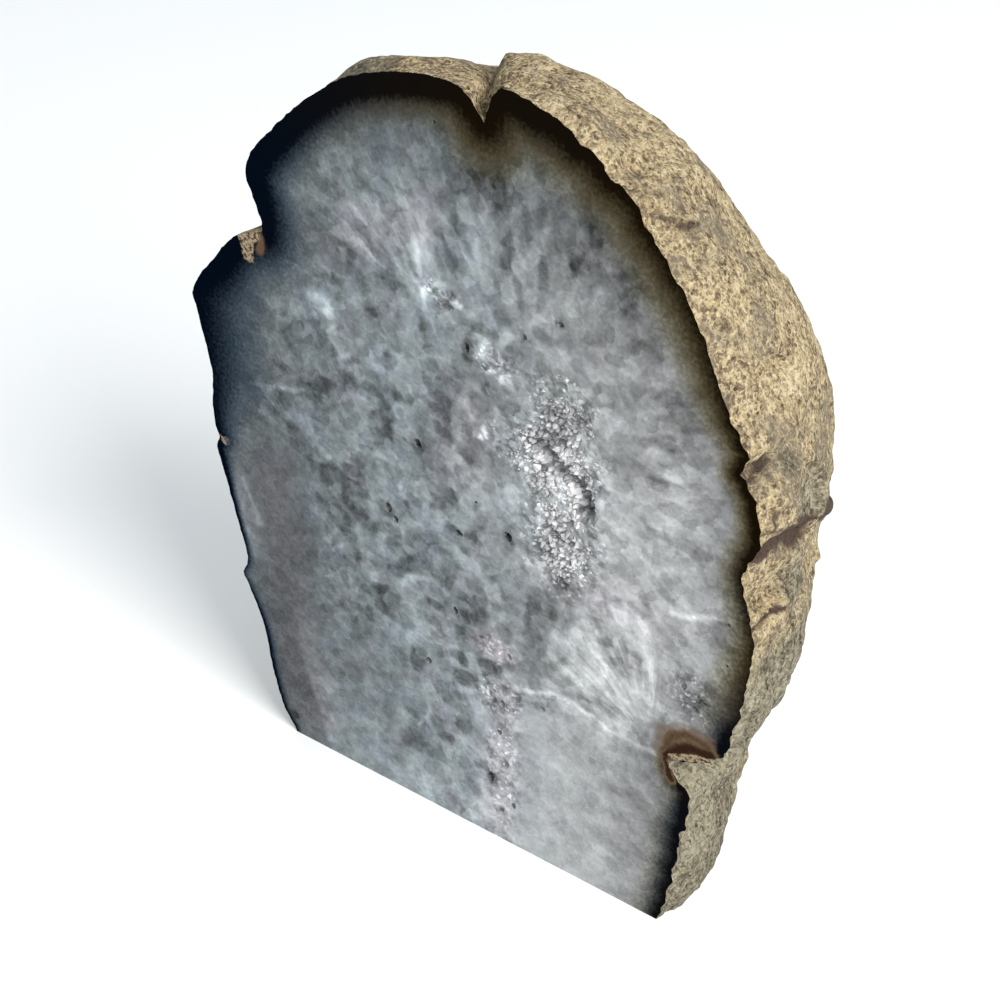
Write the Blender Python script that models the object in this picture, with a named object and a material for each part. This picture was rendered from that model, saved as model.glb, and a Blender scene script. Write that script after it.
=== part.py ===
"""Half of an agate nodule that stands on a sawn base.

One flat face is cut and polished. Behind it is the natural domed rind. A shallow hollow in the
face is lined with small quartz crystals, and small pits lie around it. The polished face looks
towards -Y and the base lies on Z = 0.
"""
import math
import random

import bmesh
import bpy
import numpy as np
from mathutils import Matrix, Vector, noise

MM = 0.001

# Main sizes in millimetres
DOME_DEPTH = 35.0
BOX_CENTRE_X = 0.33
BOX_CENTRE_Y = 17.57
HUB_Z = 34.0
APEX_SHIFT_X = 6.0
APEX_SHIFT_Z = 2.0
DOME_ROUNDNESS = 2.35
DETAIL_FADE = 10.0
BODY_SMOOTHING = 9.8
OUTLINE_SPACING = 2.6
DOME_RINGS = 20
RING_CROWDING = 1.2
CREASE_STEPS = 16

# Rim of the polished face, from the left end of the base over the top to the right end:
# x and z in millimetres, and 1 where the rim has a sharp corner
RIM = [
    (-27.4, 0.0, 0), (-29.4, 3.5, 0), (-30.7, 8.5, 0), (-32.0, 17.0, 0), (-34.7, 23.7, 1),
    (-33.6, 26.0, 0), (-34.5, 31.0, 0), (-37.2, 42.0, 1), (-36.5, 43.8, 1), (-37.2, 46.5, 0),
    (-36.7, 53.0, 0), (-37.5, 58.0, 0), (-38.7, 63.2, 1), (-37.6, 65.4, 0), (-34.3, 69.4, 0),
    (-31.3, 72.6, 0), (-29.2, 73.8, 0), (-26.5, 74.9, 1), (-26.6, 76.5, 0), (-28.3, 81.0, 0),
    (-27.3, 84.0, 0), (-24.8, 87.0, 0), (-19.6, 91.8, 0), (-14.0, 95.8, 0), (-8.5, 98.0, 0),
    (-3.4, 99.0, 0), (0.9, 99.0, 0), (2.6, 98.1, 0), (3.6, 96.8, 0), (4.4, 96.0, 1),
    (4.9, 97.5, 0), (5.6, 99.4, 0), (6.8, 100.0, 0), (9.0, 99.6, 0), (13.3, 98.3, 0),
    (20.0, 93.7, 0), (22.6, 92.1, 1), (23.2, 90.6, 0), (25.6, 87.7, 0), (30.2, 81.0, 0),
    (33.7, 73.1, 0), (36.4, 69.0, 1), (35.5, 66.8, 1), (36.9, 65.0, 0), (38.7, 59.3, 1),
    (36.6, 54.6, 1), (37.7, 51.0, 0), (38.6, 46.8, 0), (38.6, 42.0, 0), (37.2, 32.2, 0),
    (36.3, 29.5, 1), (33.6, 27.7, 0), (29.6, 25.8, 1), (30.4, 24.4, 0), (32.3, 22.4, 0),
    (32.8, 21.3, 0), (32.2, 16.4, 0), (30.8, 6.6, 0), (29.5, 0.0, 0),
]

# The nodule's outline went on below the saw cut: the base plane takes this part off
BELOW_BASE = [
    (28.0, -9.5, 0), (14.0, -18.5, 0), (-2.5, -22.0, 0), (-18.5, -16.5, 0), (-25.5, -8.0, 0),
]

# Swellings and dents of the rind: angle around the hub in degrees, depth behind the face,
# radius and height in millimetres
LUMPS = [
    (-46, 17, 9, -1.3), (-48, 9, 7, 1.0), (16, 19, 9, -1.0), (46, 22, 13, 0.6),
    (70, 20, 11, -0.8), (84, 13, 6, 0.8), (90, 12, 5, 1.5), (102, 4, 5, 1.2),
    (-2, 8, 7, 0.8), (128, 18, 11, 1.2), (150, 14, 10, -1.2), (172, 20, 12, 1.0),
    (195, 12, 9, -0.9), (110, 27, 9, -1.3), (60, 32, 8, 1.0), (200, 28, 10, 1.2),
    (20, 31, 8, 1.0), (-40, 30, 9, 1.0), (140, 30, 7, 0.9), (-70, 24, 8, -0.9),
]

# Creases that run back over the rind: angle and depth at both ends, half width and depth
CREASES = [
    (85.3, 0, 93.5, 11, 2.2, -1.5),
    (-31.0, 0, -37.0, 21, 2.6, -1.6),
    (24.0, 1, 22.0, 22, 2.0, -0.9),
    (10.0, 4, 18.0, 19, 1.6, -0.7),
    (131.5, 0, 128.0, 14, 3.0, -1.4),
    (166.0, 0, 170.0, 9, 1.8, -0.7),
]

# Relief that repeats all over the rind: wavelength and height in millimetres
ROUGH_RELIEF = [(13.0, 0.75), (5.0, 0.35)]
RELIEF_RAMP = 2.5

# Outline of the crystal hollow in the face: x and z in millimetres
HOLLOW = [
    (6.0, 58.6), (6.9, 62.0), (9.8, 64.2), (11.0, 68.0), (14.6, 68.9), (17.3, 67.9),
    (19.2, 64.6), (19.0, 60.2), (20.3, 56.4), (19.4, 50.6), (20.2, 46.4), (17.0, 43.4),
    (12.2, 43.2), (10.2, 46.6), (11.4, 50.8), (9.0, 54.4),
]
HOLLOW_DEPTH = 3.4
HOLLOW_FLOOR_SCALE = 0.82
CUT_OVERRUN = 1.0
FIT_GAP = 0.35

# The crust's bare bowl under its crystals: scale of the hollow's outline, inset and depth
CRUST_BOWL = [
    (1.2, 0.0, 3.6), (1.2, 0.0, 0.3), (0.96, 0.0, 0.35), (0.85, 0.0, 1.5), (0.5, 0.0, 2.3)]
CRUST_SINK = 0.1

# Crystals of the crust
CRUST_SEED = 33
CRYSTAL_COUNT = 82
CRYSTAL_SPACING = 1.3
CRYSTAL_RADIUS = (0.65, 1.25)
CRYSTAL_TILT = math.radians(34)
CRYSTAL_TOP = (-0.5, 1.1)
GAP_CHAIN = [(12.0, 62.0), (13.7, 60.6), (13.6, 58.4), (15.0, 57.6), (17.3, 56.6)]
GAP_RADIUS = 1.5
GAP_TOP = 2.4

# Pits in the polished face: x, z, radius and how much taller than wide, in millimetres
PITS = [
    (-5.1, 54.8, 0.75, 1.3), (-9.8, 44.0, 0.7, 1.1), (-8.7, 42.8, 0.6, 1.2),
    (0.5, 44.8, 0.9, 0.8), (7.5, 47.1, 0.8, 1.2), (2.0, 69.7, 1.0, 1.6),
    (-0.2, 33.3, 0.8, 1.2), (-0.8, 74.0, 1.1, 0.7), (-4.4, 23.6, 0.7, 1.3),
    (6.6, 22.3, 0.8, 1.2), (8.8, 24.0, 0.9, 1.0), (12.5, 24.5, 0.7, 0.8),
    (5.2, 9.7, 0.9, 1.4), (7.2, 13.0, 0.9, 1.0), (6.6, 5.0, 0.8, 1.0), (7.6, 30.0, 0.6, 1.0),
    (30.6, 37.4, 1.2, 1.6), (32.6, 34.6, 0.9, 1.2), (-35.2, 43.6, 0.7, 1.2),
]
PIT_SINK = 0.25
PIT_ROUGHNESS = 0.3


def clear_scene():
    """Remove every object that the file starts with."""
    for item in list(bpy.data.objects):
        bpy.data.objects.remove(item, do_unlink=True)


def new_collection(name):
    """Add an empty collection to the scene."""
    group = bpy.data.collections.new(name)
    bpy.context.scene.collection.children.link(group)
    return group


def new_material(name, colour, roughness):
    """Make a plain Principled material."""
    material = bpy.data.materials.new(name)
    material.use_nodes = True
    shader = material.node_tree.nodes["Principled BSDF"]
    shader.inputs["Base Color"].default_value = (*colour, 1.0)
    shader.inputs["Roughness"].default_value = roughness
    shader.inputs["Metallic"].default_value = 0.0
    return material


def add_object(name, bm, collection, material=None):
    """Turn millimetre mesh data into an object in the part's frame."""
    bmesh.ops.recalc_face_normals(bm, faces=bm.faces)
    mesh = bpy.data.meshes.new(name)
    bm.to_mesh(mesh)
    bm.free()
    mesh.transform(Matrix.Scale(MM, 4) @ Matrix.Translation((-BOX_CENTRE_X, -BOX_CENTRE_Y, 0.0)))
    item = bpy.data.objects.new(name, mesh)
    collection.objects.link(item)
    if material:
        mesh.materials.append(material)
    else:
        item.hide_render = True
        item.display_type = "WIRE"
    return item


def add_boolean(item, cutter, operation):
    """Give an object one exact boolean with a cutter."""
    boolean = item.modifiers.new(cutter.name, "BOOLEAN")
    boolean.object = cutter
    boolean.operation = operation
    boolean.solver = "EXACT"
    boolean.use_self = operation == "INTERSECT"


def outline_tangent(points, index):
    """Give the smooth curve's direction at an outline point."""
    before = points[index - 1][:2]
    after = points[(index + 1) % len(points)][:2]
    here = points[index][:2]
    arrive = math.dist(before, here)
    leave = math.dist(here, after)
    return np.subtract(after, before) / (arrive + leave)


def smooth_outline(points, spacing):
    """Draw a smooth closed curve through points, with its sharp corners kept."""
    curve = []
    for index, start in enumerate(points):
        end_index = (index + 1) % len(points)
        end = points[end_index]
        here = np.array(start[:2])
        there = np.array(end[:2])
        length = math.dist(here, there)
        chord = (there - here) / length
        leave = chord if start[2] else outline_tangent(points, index)
        arrive = chord if end[2] else outline_tangent(points, end_index)
        steps = max(1, round(length / spacing))
        for step in range(steps):
            s = step / steps
            curve.append(
                (2 * s**3 - 3 * s**2 + 1) * here + (s**3 - 2 * s**2 + s) * length * leave
                + (3 * s**2 - 2 * s**3) * there + (s**3 - s**2) * length * arrive)
    return np.array(curve)


def body_outline(outline):
    """Blur the outline along its length, for the plain form behind its small bumps."""
    steps = np.linalg.norm(np.roll(outline, -1, axis=0) - outline, axis=1)
    along = np.concatenate([[0.0], np.cumsum(steps)])
    total = along[-1]
    gap = np.abs(along[:-1, None] - along[None, :-1])
    gap = np.minimum(gap, total - gap)
    weight = np.exp(-0.5 * (gap / BODY_SMOOTHING) ** 2) * (steps + np.roll(steps, 1))
    return weight @ outline / weight.sum(axis=1, keepdims=True)


def dome_ring(outline, body, depth):
    """Give one section of the dome at a depth behind the face."""
    share = depth / DOME_DEPTH
    size = (1.0 - share**DOME_ROUNDNESS) ** (1.0 / DOME_ROUNDNESS)
    hub = np.array([0.0, HUB_Z])
    drift = np.array([APEX_SHIFT_X, APEX_SHIFT_Z]) * share
    detail = (outline - body) * math.exp(-depth / DETAIL_FADE)
    flat = hub + drift + size * (body - hub + detail)
    return np.column_stack([flat[:, 0], np.full(len(flat), depth), flat[:, 1]])


def ring_depth(step):
    """Space the dome's sections: close behind the rim and at the apex, wider between."""
    turn = (step / DOME_RINGS) ** RING_CROWDING * math.pi / 2
    return DOME_DEPTH * math.sin(turn) ** (2.0 / DOME_ROUNDNESS)


def rind_point(outline, body, angle, depth):
    """Find the place on the dome at an angle around the hub and a depth behind the face."""
    ring = dome_ring(outline, body, depth)
    angles = np.degrees(np.arctan2(body[:, 1] - HUB_Z, body[:, 0]))
    apart = np.abs((angles - angle + 180.0) % 360.0 - 180.0)
    return ring[np.argmin(apart)]


def crease_points(outline, body, crease):
    """Lay a row of points along a crease of the rind."""
    start_angle, start_depth, end_angle, end_depth = crease[:4]
    shares = np.linspace(0.0, 1.0, CREASE_STEPS)
    return np.array([
        rind_point(outline, body, start_angle + (end_angle - start_angle) * share,
                   start_depth + (end_depth - start_depth) * share)
        for share in shares])


def rind_relief(places, outline, body):
    """Give how far each place on the rind stands out from the plain dome."""
    height = np.zeros(len(places))
    for angle, depth, radius, rise in LUMPS:
        apart = np.linalg.norm(places - rind_point(outline, body, angle, depth), axis=1)
        height += rise * np.exp(-(apart / radius) ** 2)
    for crease in CREASES:
        points = crease_points(outline, body, crease)
        apart = np.linalg.norm(places[:, None] - points[None], axis=2).min(axis=1)
        height += crease[5] * np.exp(-(apart / crease[4]) ** 2)
    for wavelength, rise in ROUGH_RELIEF:
        height += [rise * noise.noise(Vector(place) / wavelength) for place in places]
    return height


def shape_rind(bm, outline, body):
    """Move the rind's points in and out, and leave the rim where the saw cut it."""
    bm.normal_update()
    places = np.array([vert.co[:] for vert in bm.verts])
    ramp = np.minimum(1.0, places[:, 1] / RELIEF_RAMP)
    height = rind_relief(places, outline, body) * ramp
    for vert, rise in zip(bm.verts, height):
        vert.co += vert.normal * rise


def loft_dome(rings, apex):
    """Join the sections to a closed body with a flat face in front."""
    bm = bmesh.new()
    loops = [[bm.verts.new(point) for point in ring] for ring in rings]
    count = len(loops[0])
    for near, far in zip(loops, loops[1:]):
        for i in range(count):
            j = (i + 1) % count
            bm.faces.new((near[i], near[j], far[j], far[i]))
    tip = bm.verts.new(apex)
    for i in range(count):
        bm.faces.new((loops[-1][i], loops[-1][(i + 1) % count], tip))
    bm.faces.new(loops[0])
    bmesh.ops.recalc_face_normals(bm, faces=bm.faces)
    return bm


def saw_base(bm):
    """Cut the nodule off flat at the base and close the cut."""
    everything = bm.verts[:] + bm.edges[:] + bm.faces[:]
    cut = bmesh.ops.bisect_plane(
        bm, geom=everything, dist=0.0001, plane_co=(0, 0, 0), plane_no=(0, 0, -1),
        clear_outer=True)
    edges = [item for item in cut["geom_cut"] if isinstance(item, bmesh.types.BMEdge)]
    bmesh.ops.contextual_create(bm, geom=edges)


def make_stone(collection, material):
    """Build the nodule half: a lofted rind, a flat face and a sawn base."""
    outline = smooth_outline(RIM + BELOW_BASE, OUTLINE_SPACING)
    body = body_outline(outline)
    rings = [dome_ring(outline, body, ring_depth(step)) for step in range(DOME_RINGS)]
    apex = (APEX_SHIFT_X, DOME_DEPTH, HUB_Z + APEX_SHIFT_Z)
    bm = loft_dome(rings, apex)
    shape_rind(bm, outline, body)
    saw_base(bm)
    return add_object("agate_stone", bm, collection, material)


def hollow_ring(scale, inset, depth):
    """Give the hollow's outline, drawn in towards its middle, at a depth behind the face."""
    middle = np.mean(HOLLOW, axis=0)
    ring = []
    for x, z in HOLLOW:
        away = np.array([x, z]) - middle
        length = np.linalg.norm(away)
        spot = middle + away * (scale - inset / length)
        ring.append((spot[0], depth, spot[1]))
    return ring


def stack_hollow_rings(rings):
    """Build a closed solid from rings of the hollow's outline: scale, inset and depth."""
    bm = bmesh.new()
    loops = []
    for scale, inset, depth in rings:
        loops.append([bm.verts.new(point) for point in hollow_ring(scale, inset, depth)])
    for near, far in zip(loops, loops[1:]):
        for i in range(len(near)):
            j = (i + 1) % len(near)
            bm.faces.new((near[i], near[j], far[j], far[i]))
    bm.faces.new(loops[0])
    bm.faces.new(loops[-1])
    bmesh.ops.recalc_face_normals(bm, faces=bm.faces)
    return bm


def add_pit(bm, x, z, radius, height_share, chance):
    """Add one rough ball that cuts a pit into the face."""
    ball = bmesh.ops.create_icosphere(bm, subdivisions=1, radius=radius)["verts"]
    turn = Matrix.Rotation(chance.uniform(0, math.tau), 4, "Y")
    stretch = Matrix.Diagonal((1.0, 1.0, height_share, 1.0))
    place = Matrix.Translation((x, radius * PIT_SINK, z))
    for vert in ball:
        vert.co *= 1.0 + chance.uniform(-PIT_ROUGHNESS, PIT_ROUGHNESS)
        vert.co = place @ stretch @ turn @ vert.co


def make_cutters(collection):
    """Build the shapes that are cut out of the stone or hold the crust in its hollow."""
    chance = random.Random(7)
    cut = [(1.0, 0.0, -CUT_OVERRUN), (1.0, 0.0, 0.0), (HOLLOW_FLOOR_SCALE, 0.0, HOLLOW_DEPTH)]
    hollow = add_object("hollow_cut", stack_hollow_rings(cut), collection)
    bm = bmesh.new()
    for x, z, radius, height_share in PITS:
        add_pit(bm, x, z, radius, height_share, chance)
    pits = add_object("pits_cut", bm, collection)
    space = [(1.0, FIT_GAP, CRUST_SINK), (HOLLOW_FLOOR_SCALE, FIT_GAP, HOLLOW_DEPTH - FIT_GAP)]
    room = add_object("crust_room", stack_hollow_rings(space), collection)
    return hollow, pits, room


def inside_hollow(spot):
    """Tell if a place in the face lies inside the hollow's outline."""
    crossings = 0
    for (x, z), (next_x, next_z) in zip(HOLLOW, HOLLOW[1:] + HOLLOW[:1]):
        if (z > spot[1]) != (next_z > spot[1]):
            edge_x = x + (spot[1] - z) / (next_z - z) * (next_x - x)
            crossings += edge_x > spot[0]
    return crossings % 2 == 1


def crystal_spots(chance):
    """Scatter crystal places over the hollow, each well apart from the last ones."""
    low_x, low_z = np.min(HOLLOW, axis=0)
    high_x, high_z = np.max(HOLLOW, axis=0)
    spots = []
    while len(spots) < CRYSTAL_COUNT:
        spot = (chance.uniform(low_x, high_x), chance.uniform(low_z, high_z))
        clear = all(math.dist(spot, old) > CRYSTAL_SPACING for old in spots)
        if clear and inside_hollow(spot):
            spots.append(spot)
    return spots


def add_crystal(bm, spot, chance):
    """Add one six-sided crystal with a pointed end that looks out of the hollow."""
    in_gap = any(math.dist(spot, gap) < GAP_RADIUS for gap in GAP_CHAIN)
    tip_depth = GAP_TOP if in_gap else chance.uniform(*CRYSTAL_TOP)
    radius = chance.uniform(*CRYSTAL_RADIUS)
    length = HOLLOW_DEPTH - tip_depth
    point = radius * 0.9
    made = bmesh.ops.create_cone(
        bm, cap_ends=True, segments=6, radius1=radius, radius2=radius * 0.92,
        depth=max(length - point, 0.3))
    top = max((vert.co.z for vert in made["verts"]))
    caps = {face for vert in made["verts"] for face in vert.link_faces}
    cap = [face for face in caps if all(abs(vert.co.z - top) < 0.001 for vert in face.verts)]
    peak = bmesh.ops.poke(bm, faces=cap, offset=point)["verts"]
    spin = Matrix.Rotation(chance.uniform(0, math.tau), 4, "Z")
    lean = Matrix.Rotation(chance.uniform(0, CRYSTAL_TILT), 4, Vector(
        (chance.uniform(-1, 1), chance.uniform(-1, 1), 0.01)).normalized())
    out = Matrix.Rotation(math.pi / 2, 4, "X")
    place = Matrix.Translation((spot[0], (HOLLOW_DEPTH + tip_depth) / 2, spot[1]))
    for vert in made["verts"] + peak:
        vert.co = place @ out @ lean @ spin @ vert.co


def make_crust(collection, material, room):
    """Build the crystal crust: a thin floor with crystals grown together on it."""
    chance = random.Random(CRUST_SEED)
    bm = stack_hollow_rings(CRUST_BOWL)
    for spot in crystal_spots(chance):
        add_crystal(bm, spot, chance)
    crust = add_object("druse_crystals", bm, collection, material)
    add_boolean(crust, room, "INTERSECT")
    return crust


def main():
    """Build the agate."""
    clear_scene()
    part = new_collection("polished_agate")
    cutters = new_collection("cutters")
    agate = new_material("agate", (0.36, 0.39, 0.41), 0.22)
    quartz = new_material("quartz", (0.62, 0.62, 0.62), 0.12)
    hollow, pits, room = make_cutters(cutters)
    stone = make_stone(part, agate)
    add_boolean(stone, hollow, "DIFFERENCE")
    add_boolean(stone, pits, "DIFFERENCE")
    make_crust(part, quartz, room)


main()
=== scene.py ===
import math
import random

import bmesh
import bpy
import numpy as np
from mathutils import Matrix, Vector, geometry, noise


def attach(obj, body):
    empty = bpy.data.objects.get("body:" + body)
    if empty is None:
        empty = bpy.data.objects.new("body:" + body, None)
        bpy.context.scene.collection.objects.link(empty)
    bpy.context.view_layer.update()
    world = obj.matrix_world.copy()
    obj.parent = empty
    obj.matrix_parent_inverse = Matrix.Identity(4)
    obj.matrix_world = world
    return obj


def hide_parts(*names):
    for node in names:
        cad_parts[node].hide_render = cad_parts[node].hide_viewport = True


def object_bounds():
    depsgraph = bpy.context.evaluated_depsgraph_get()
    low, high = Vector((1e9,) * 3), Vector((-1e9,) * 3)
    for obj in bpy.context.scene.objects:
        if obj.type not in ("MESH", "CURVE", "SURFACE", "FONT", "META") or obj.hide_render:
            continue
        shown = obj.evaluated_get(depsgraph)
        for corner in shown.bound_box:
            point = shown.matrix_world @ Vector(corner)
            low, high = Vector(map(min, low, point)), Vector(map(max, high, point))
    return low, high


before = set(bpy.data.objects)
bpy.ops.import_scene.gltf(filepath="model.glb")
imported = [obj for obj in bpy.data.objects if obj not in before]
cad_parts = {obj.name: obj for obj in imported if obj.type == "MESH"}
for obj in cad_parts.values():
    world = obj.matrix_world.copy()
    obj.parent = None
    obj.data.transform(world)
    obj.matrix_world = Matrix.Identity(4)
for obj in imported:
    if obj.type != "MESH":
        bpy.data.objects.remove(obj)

cad_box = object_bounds()

MM = 0.001

# The stone's form, with the same values as the model: millimetres, x to the right, y behind the
# face and z up
DOME_DEPTH = 35.0
BOX_CENTRE_X = 0.33
BOX_CENTRE_Y = 17.57
HUB_Z = 34.0
APEX_SHIFT_X = 6.0
APEX_SHIFT_Z = 2.0
DOME_ROUNDNESS = 2.35
RING_CROWDING = 1.2
DETAIL_FADE = 10.0
BODY_SMOOTHING = 9.8
CREASE_STEPS = 16
RELIEF_RAMP = 2.5
ROUGH_RELIEF = [(13, 0.75), (5, 0.35)]

# The rim of the face, and its way below the base, which is cut off: x, z and 1 at a sharp corner
RIM = [
    (-27.4, 0, 0), (-29.4, 3.5, 0), (-30.7, 8.5, 0), (-32, 17, 0), (-34.7, 23.7, 1), (-33.6, 26, 0),
    (-34.5, 31, 0), (-37.2, 42, 1), (-36.5, 43.8, 1), (-37.2, 46.5, 0), (-36.7, 53, 0), (-37.5, 58, 0),
    (-38.7, 63.2, 1), (-37.6, 65.4, 0), (-34.3, 69.4, 0), (-31.3, 72.6, 0), (-29.2, 73.8, 0),
    (-26.5, 74.9, 1), (-26.6, 76.5, 0), (-28.3, 81, 0), (-27.3, 84, 0), (-24.8, 87, 0), (-19.6, 91.8, 0),
    (-14, 95.8, 0), (-8.5, 98, 0), (-3.4, 99, 0), (0.9, 99, 0), (2.6, 98.1, 0), (3.6, 96.8, 0),
    (4.4, 96, 1), (4.9, 97.5, 0), (5.6, 99.4, 0), (6.8, 100, 0), (9, 99.6, 0), (13.3, 98.3, 0),
    (20, 93.7, 0), (22.6, 92.1, 1), (23.2, 90.6, 0), (25.6, 87.7, 0), (30.2, 81, 0), (33.7, 73.1, 0),
    (36.4, 69, 1), (35.5, 66.8, 1), (36.9, 65, 0), (38.7, 59.3, 1), (36.6, 54.6, 1), (37.7, 51, 0),
    (38.6, 46.8, 0), (38.6, 42, 0), (37.2, 32.2, 0), (36.3, 29.5, 1), (33.6, 27.7, 0), (29.6, 25.8, 1),
    (30.4, 24.4, 0), (32.3, 22.4, 0), (32.8, 21.3, 0), (32.2, 16.4, 0), (30.8, 6.6, 0), (29.5, 0, 0),
]
BELOW_BASE = [(28, -9.5, 0), (14, -18.5, 0), (-2.5, -22, 0), (-18.5, -16.5, 0), (-25.5, -8, 0)]
# Broad lumps of the rind: angle around the hub, depth behind the face, radius and height
LUMPS = [
    (-46, 17, 9, -1.3), (-48, 9, 7, 1), (16, 19, 9, -1), (46, 22, 13, 0.6), (70, 20, 11, -0.8),
    (84, 13, 6, 0.8), (90, 12, 5, 1.5), (102, 4, 5, 1.2), (-2, 8, 7, 0.8), (128, 18, 11, 1.2),
    (150, 14, 10, -1.2), (172, 20, 12, 1), (195, 12, 9, -0.9), (110, 27, 9, -1.3), (60, 32, 8, 1),
    (200, 28, 10, 1.2), (20, 31, 8, 1), (-40, 30, 9, 1), (140, 30, 7, 0.9), (-70, 24, 8, -0.9),
]
# Creases of the rind: angle and depth at both ends, half width and height
CREASES = [
    (85.3, 0, 93.5, 11, 2.2, -1.5), (-31, 0, -37, 21, 2.6, -1.6), (24, 1, 22, 22, 2, -0.9),
    (10, 4, 18, 19, 1.6, -0.7), (131.5, 0, 128, 14, 3, -1.4), (166, 0, 170, 9, 1.8, -0.7),
]
HOLLOW = [
    (6, 58.6), (6.9, 62), (9.8, 64.2), (11, 68), (14.6, 68.9), (17.3, 67.9), (19.2, 64.6), (19, 60.2),
    (20.3, 56.4), (19.4, 50.6), (20.2, 46.4), (17, 43.4), (12.2, 43.2), (10.2, 46.6), (11.4, 50.8),
    (9, 54.4),
]
HOLLOW_DEPTH = 3.4
HOLLOW_FLOOR_SCALE = 0.82
HOLLOW_WALL_SCALE = 0.97
HOLLOW_WALL_DEPTH = 0.9
HOLLOW_BAYS = [(2.2, 0.7), (0.9, 0.35)]
HOLLOW_INSET = 0.25

# Fineness of the dressed stone
OUTLINE_POINTS = 704
RINGS = 92
FEWEST_POINTS = 22
FINEST_SPACING = 0.36
FACE_GRID = 0.40
PATH_STEPS = 40
RIM_JITTER = [(2.3, 0.12), (0.9, 0.15)]
TOOTH_JITTER = [(3.2, 0.36), (1.6, 0.3), (0.9, 0.34)]
TOOTH_START = 2.0
TOOTH_RAMP = 4.0
FINE_RELIEF = [(2.6, 0.26), (1.3, 0.2)]
FINE_RAMP = 0.8
RELIEF_WARP = [(1.7, 0.35)]

# Pits in the polished face: x, z, radius, how much taller than wide and depth
PITS = [
    (-5.1, 54.8, 0.6, 1.1, 1), (-9.8, 44.2, 0.55, 1.4, 0.7), (-8.8, 42.9, 0.42, 1.2, 1),
    (0.5, 44.8, 0.55, 0.8, 1.1), (7.4, 47.2, 0.6, 1.2, 0.9), (2, 69.7, 0.35, 2, 0.6),
    (-0.2, 33.3, 0.42, 1.4, 1.1), (-0.8, 74, 0.9, 0.7, 0.6), (-4.4, 23.6, 0.45, 1.3, 0.5),
    (6.6, 22.3, 0.5, 1.2, 0.35), (8.8, 24, 0.5, 1, 0.3), (12.5, 24.5, 0.4, 0.8, 0.3),
    (5, 9.7, 0.45, 1.6, 0.6), (7.2, 13, 0.5, 1.2, 0.3), (6.6, 5, 0.42, 1, 0.3), (7.6, 30, 0.45, 1, 0.4),
    (30.8, 37.6, 0.5, 1.6, 0.45), (32.6, 34.8, 0.45, 1.3, 0.45), (-35.2, 43.6, 0.6, 1.2, 0.6),
    (13.9, 76.4, 0.4, 0.8, 0.5), (9.4, 73.5, 0.3, 1.3, 0.4), (-1.8, 94.3, 0.2, 1, 0.4),
    (35.7, 48, 0.2, 1, 0.4), (35.9, 42.6, 0.22, 1, 0.4), (3, 50.1, 0.2, 0.8, 0.4),
    (8.4, 6.6, 0.4, 1.3, 0.6), (6.2, 17.6, 0.4, 1, 0.5),
]
# A pit's rings: scale and share of its depth
PIT_RINGS = ((1.0, 0.0), (0.86, 0.55), (0.5, 0.95), (0.12, 1.0))

# Fine forms of the rind, at angles around the hub and depths behind the face.
# Grooves: corners, half width, depth
GROOVES = [
    ([(86.2, 0.4), (88.8, 3.6), (90.6, 6.3), (93.4, 11.2)], 0.4, 0.6),
    ([(21, 3.7), (19.5, 5.8), (19, 7.9), (21, 7.9), (23, 8.7)], 0.35, 0.6),
    ([(66.5, 0.6), (66.8, 3), (65.6, 6.2)], 0.4, 0.35), ([(43, 0.3), (42.3, 3.6), (41.6, 7.8)], 0.5, 0.4),
    ([(-4, 1.1), (-12, 5), (-20, 10.2)], 0.5, 0.5),
    ([(31.8, 0.1), (32.2, 1.5), (31.4, 4), (30.2, 7.2), (28, 11.5)], 1.45, 1.7),
    ([(41.5, 0.2), (41.8, 2.2), (42.8, 4)], 0.55, 0.8), ([(21, 0.1), (20.4, 1.8), (20.8, 3.7)], 0.4, 0.7),
]
# Steps: corners, height and run back from the edge, which lies on the left going along the line
LEDGES = [
    ([(69, 0), (68, 1.8), (66, 6.2)], 0.5, 3.5),
    ([(35.6, 0), (35.2, 2), (33.8, 5), (32, 9), (29.8, 13)], 0.7, 4),
    ([(21, 0.2), (21, 3.7), (19, 7.9)], 0.45, 3),
]
LEDGE_EDGE = 0.3
LEDGE_ENDS = 0.8
# Dark line of painted shade along each step's edge: its half width and amount
LEDGE_SHADE_WIDTH = 0.35
LEDGE_SHADE = 0.6
# Long low ridges along the lower right of the rind: wavelengths and heights, and their length
STRIAE = [(0.95, 0.24), (2.2, 0.22)]
STRIAE_LENGTH = 5.0
STRIAE_ANGLES = ((25.0, 16.0), (-70.0, -50.0))
# Grey patches of the rind: angle, depth and radius
GREY_PATCHES = [(33.5, 11, 4.5), (22, 10, 3.6), (41, 6.5, 1.8), (27, 17.5, 3), (104, 3, 7), (112, 3, 7)]
# Where the rind is greyer and darker on the lower right near the rim, partly its own grey and partly
# painted shade: angles, then depths
GREY_SHADE_ANGLES = ((20.0, 6.0), (-95.0, -60.0))
GREY_SHADE_DEPTHS = (28.0, 12.0)
# Small knobs: angle, depth, radius, height
KNOBS = [
    (29.4, 16.4, 1.3, 1), (27, 18.4, 1, 0.5), (16, 21.8, 1, 0.6), (38, 3.1, 0.9, 0.5),
    (33, 4.6, 0.6, -0.5), (31, 2.3, 0.9, -0.6), (97, 2.9, 1.5, 0.5),
]
# Dark ring of painted shade at each knob's foot: how far out it lies and its width
KNOB_SHADE_REACH = 1.2
KNOB_SHADE_WIDTH = 0.4
# Flat facets: angle, depth, radius and how far the middle is cut back
FACETS = [(34.8, 9.8, 3.4, 1), (26.5, 4.5, 4, 0.5), (48, 7, 4.5, 0.5)]
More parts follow.
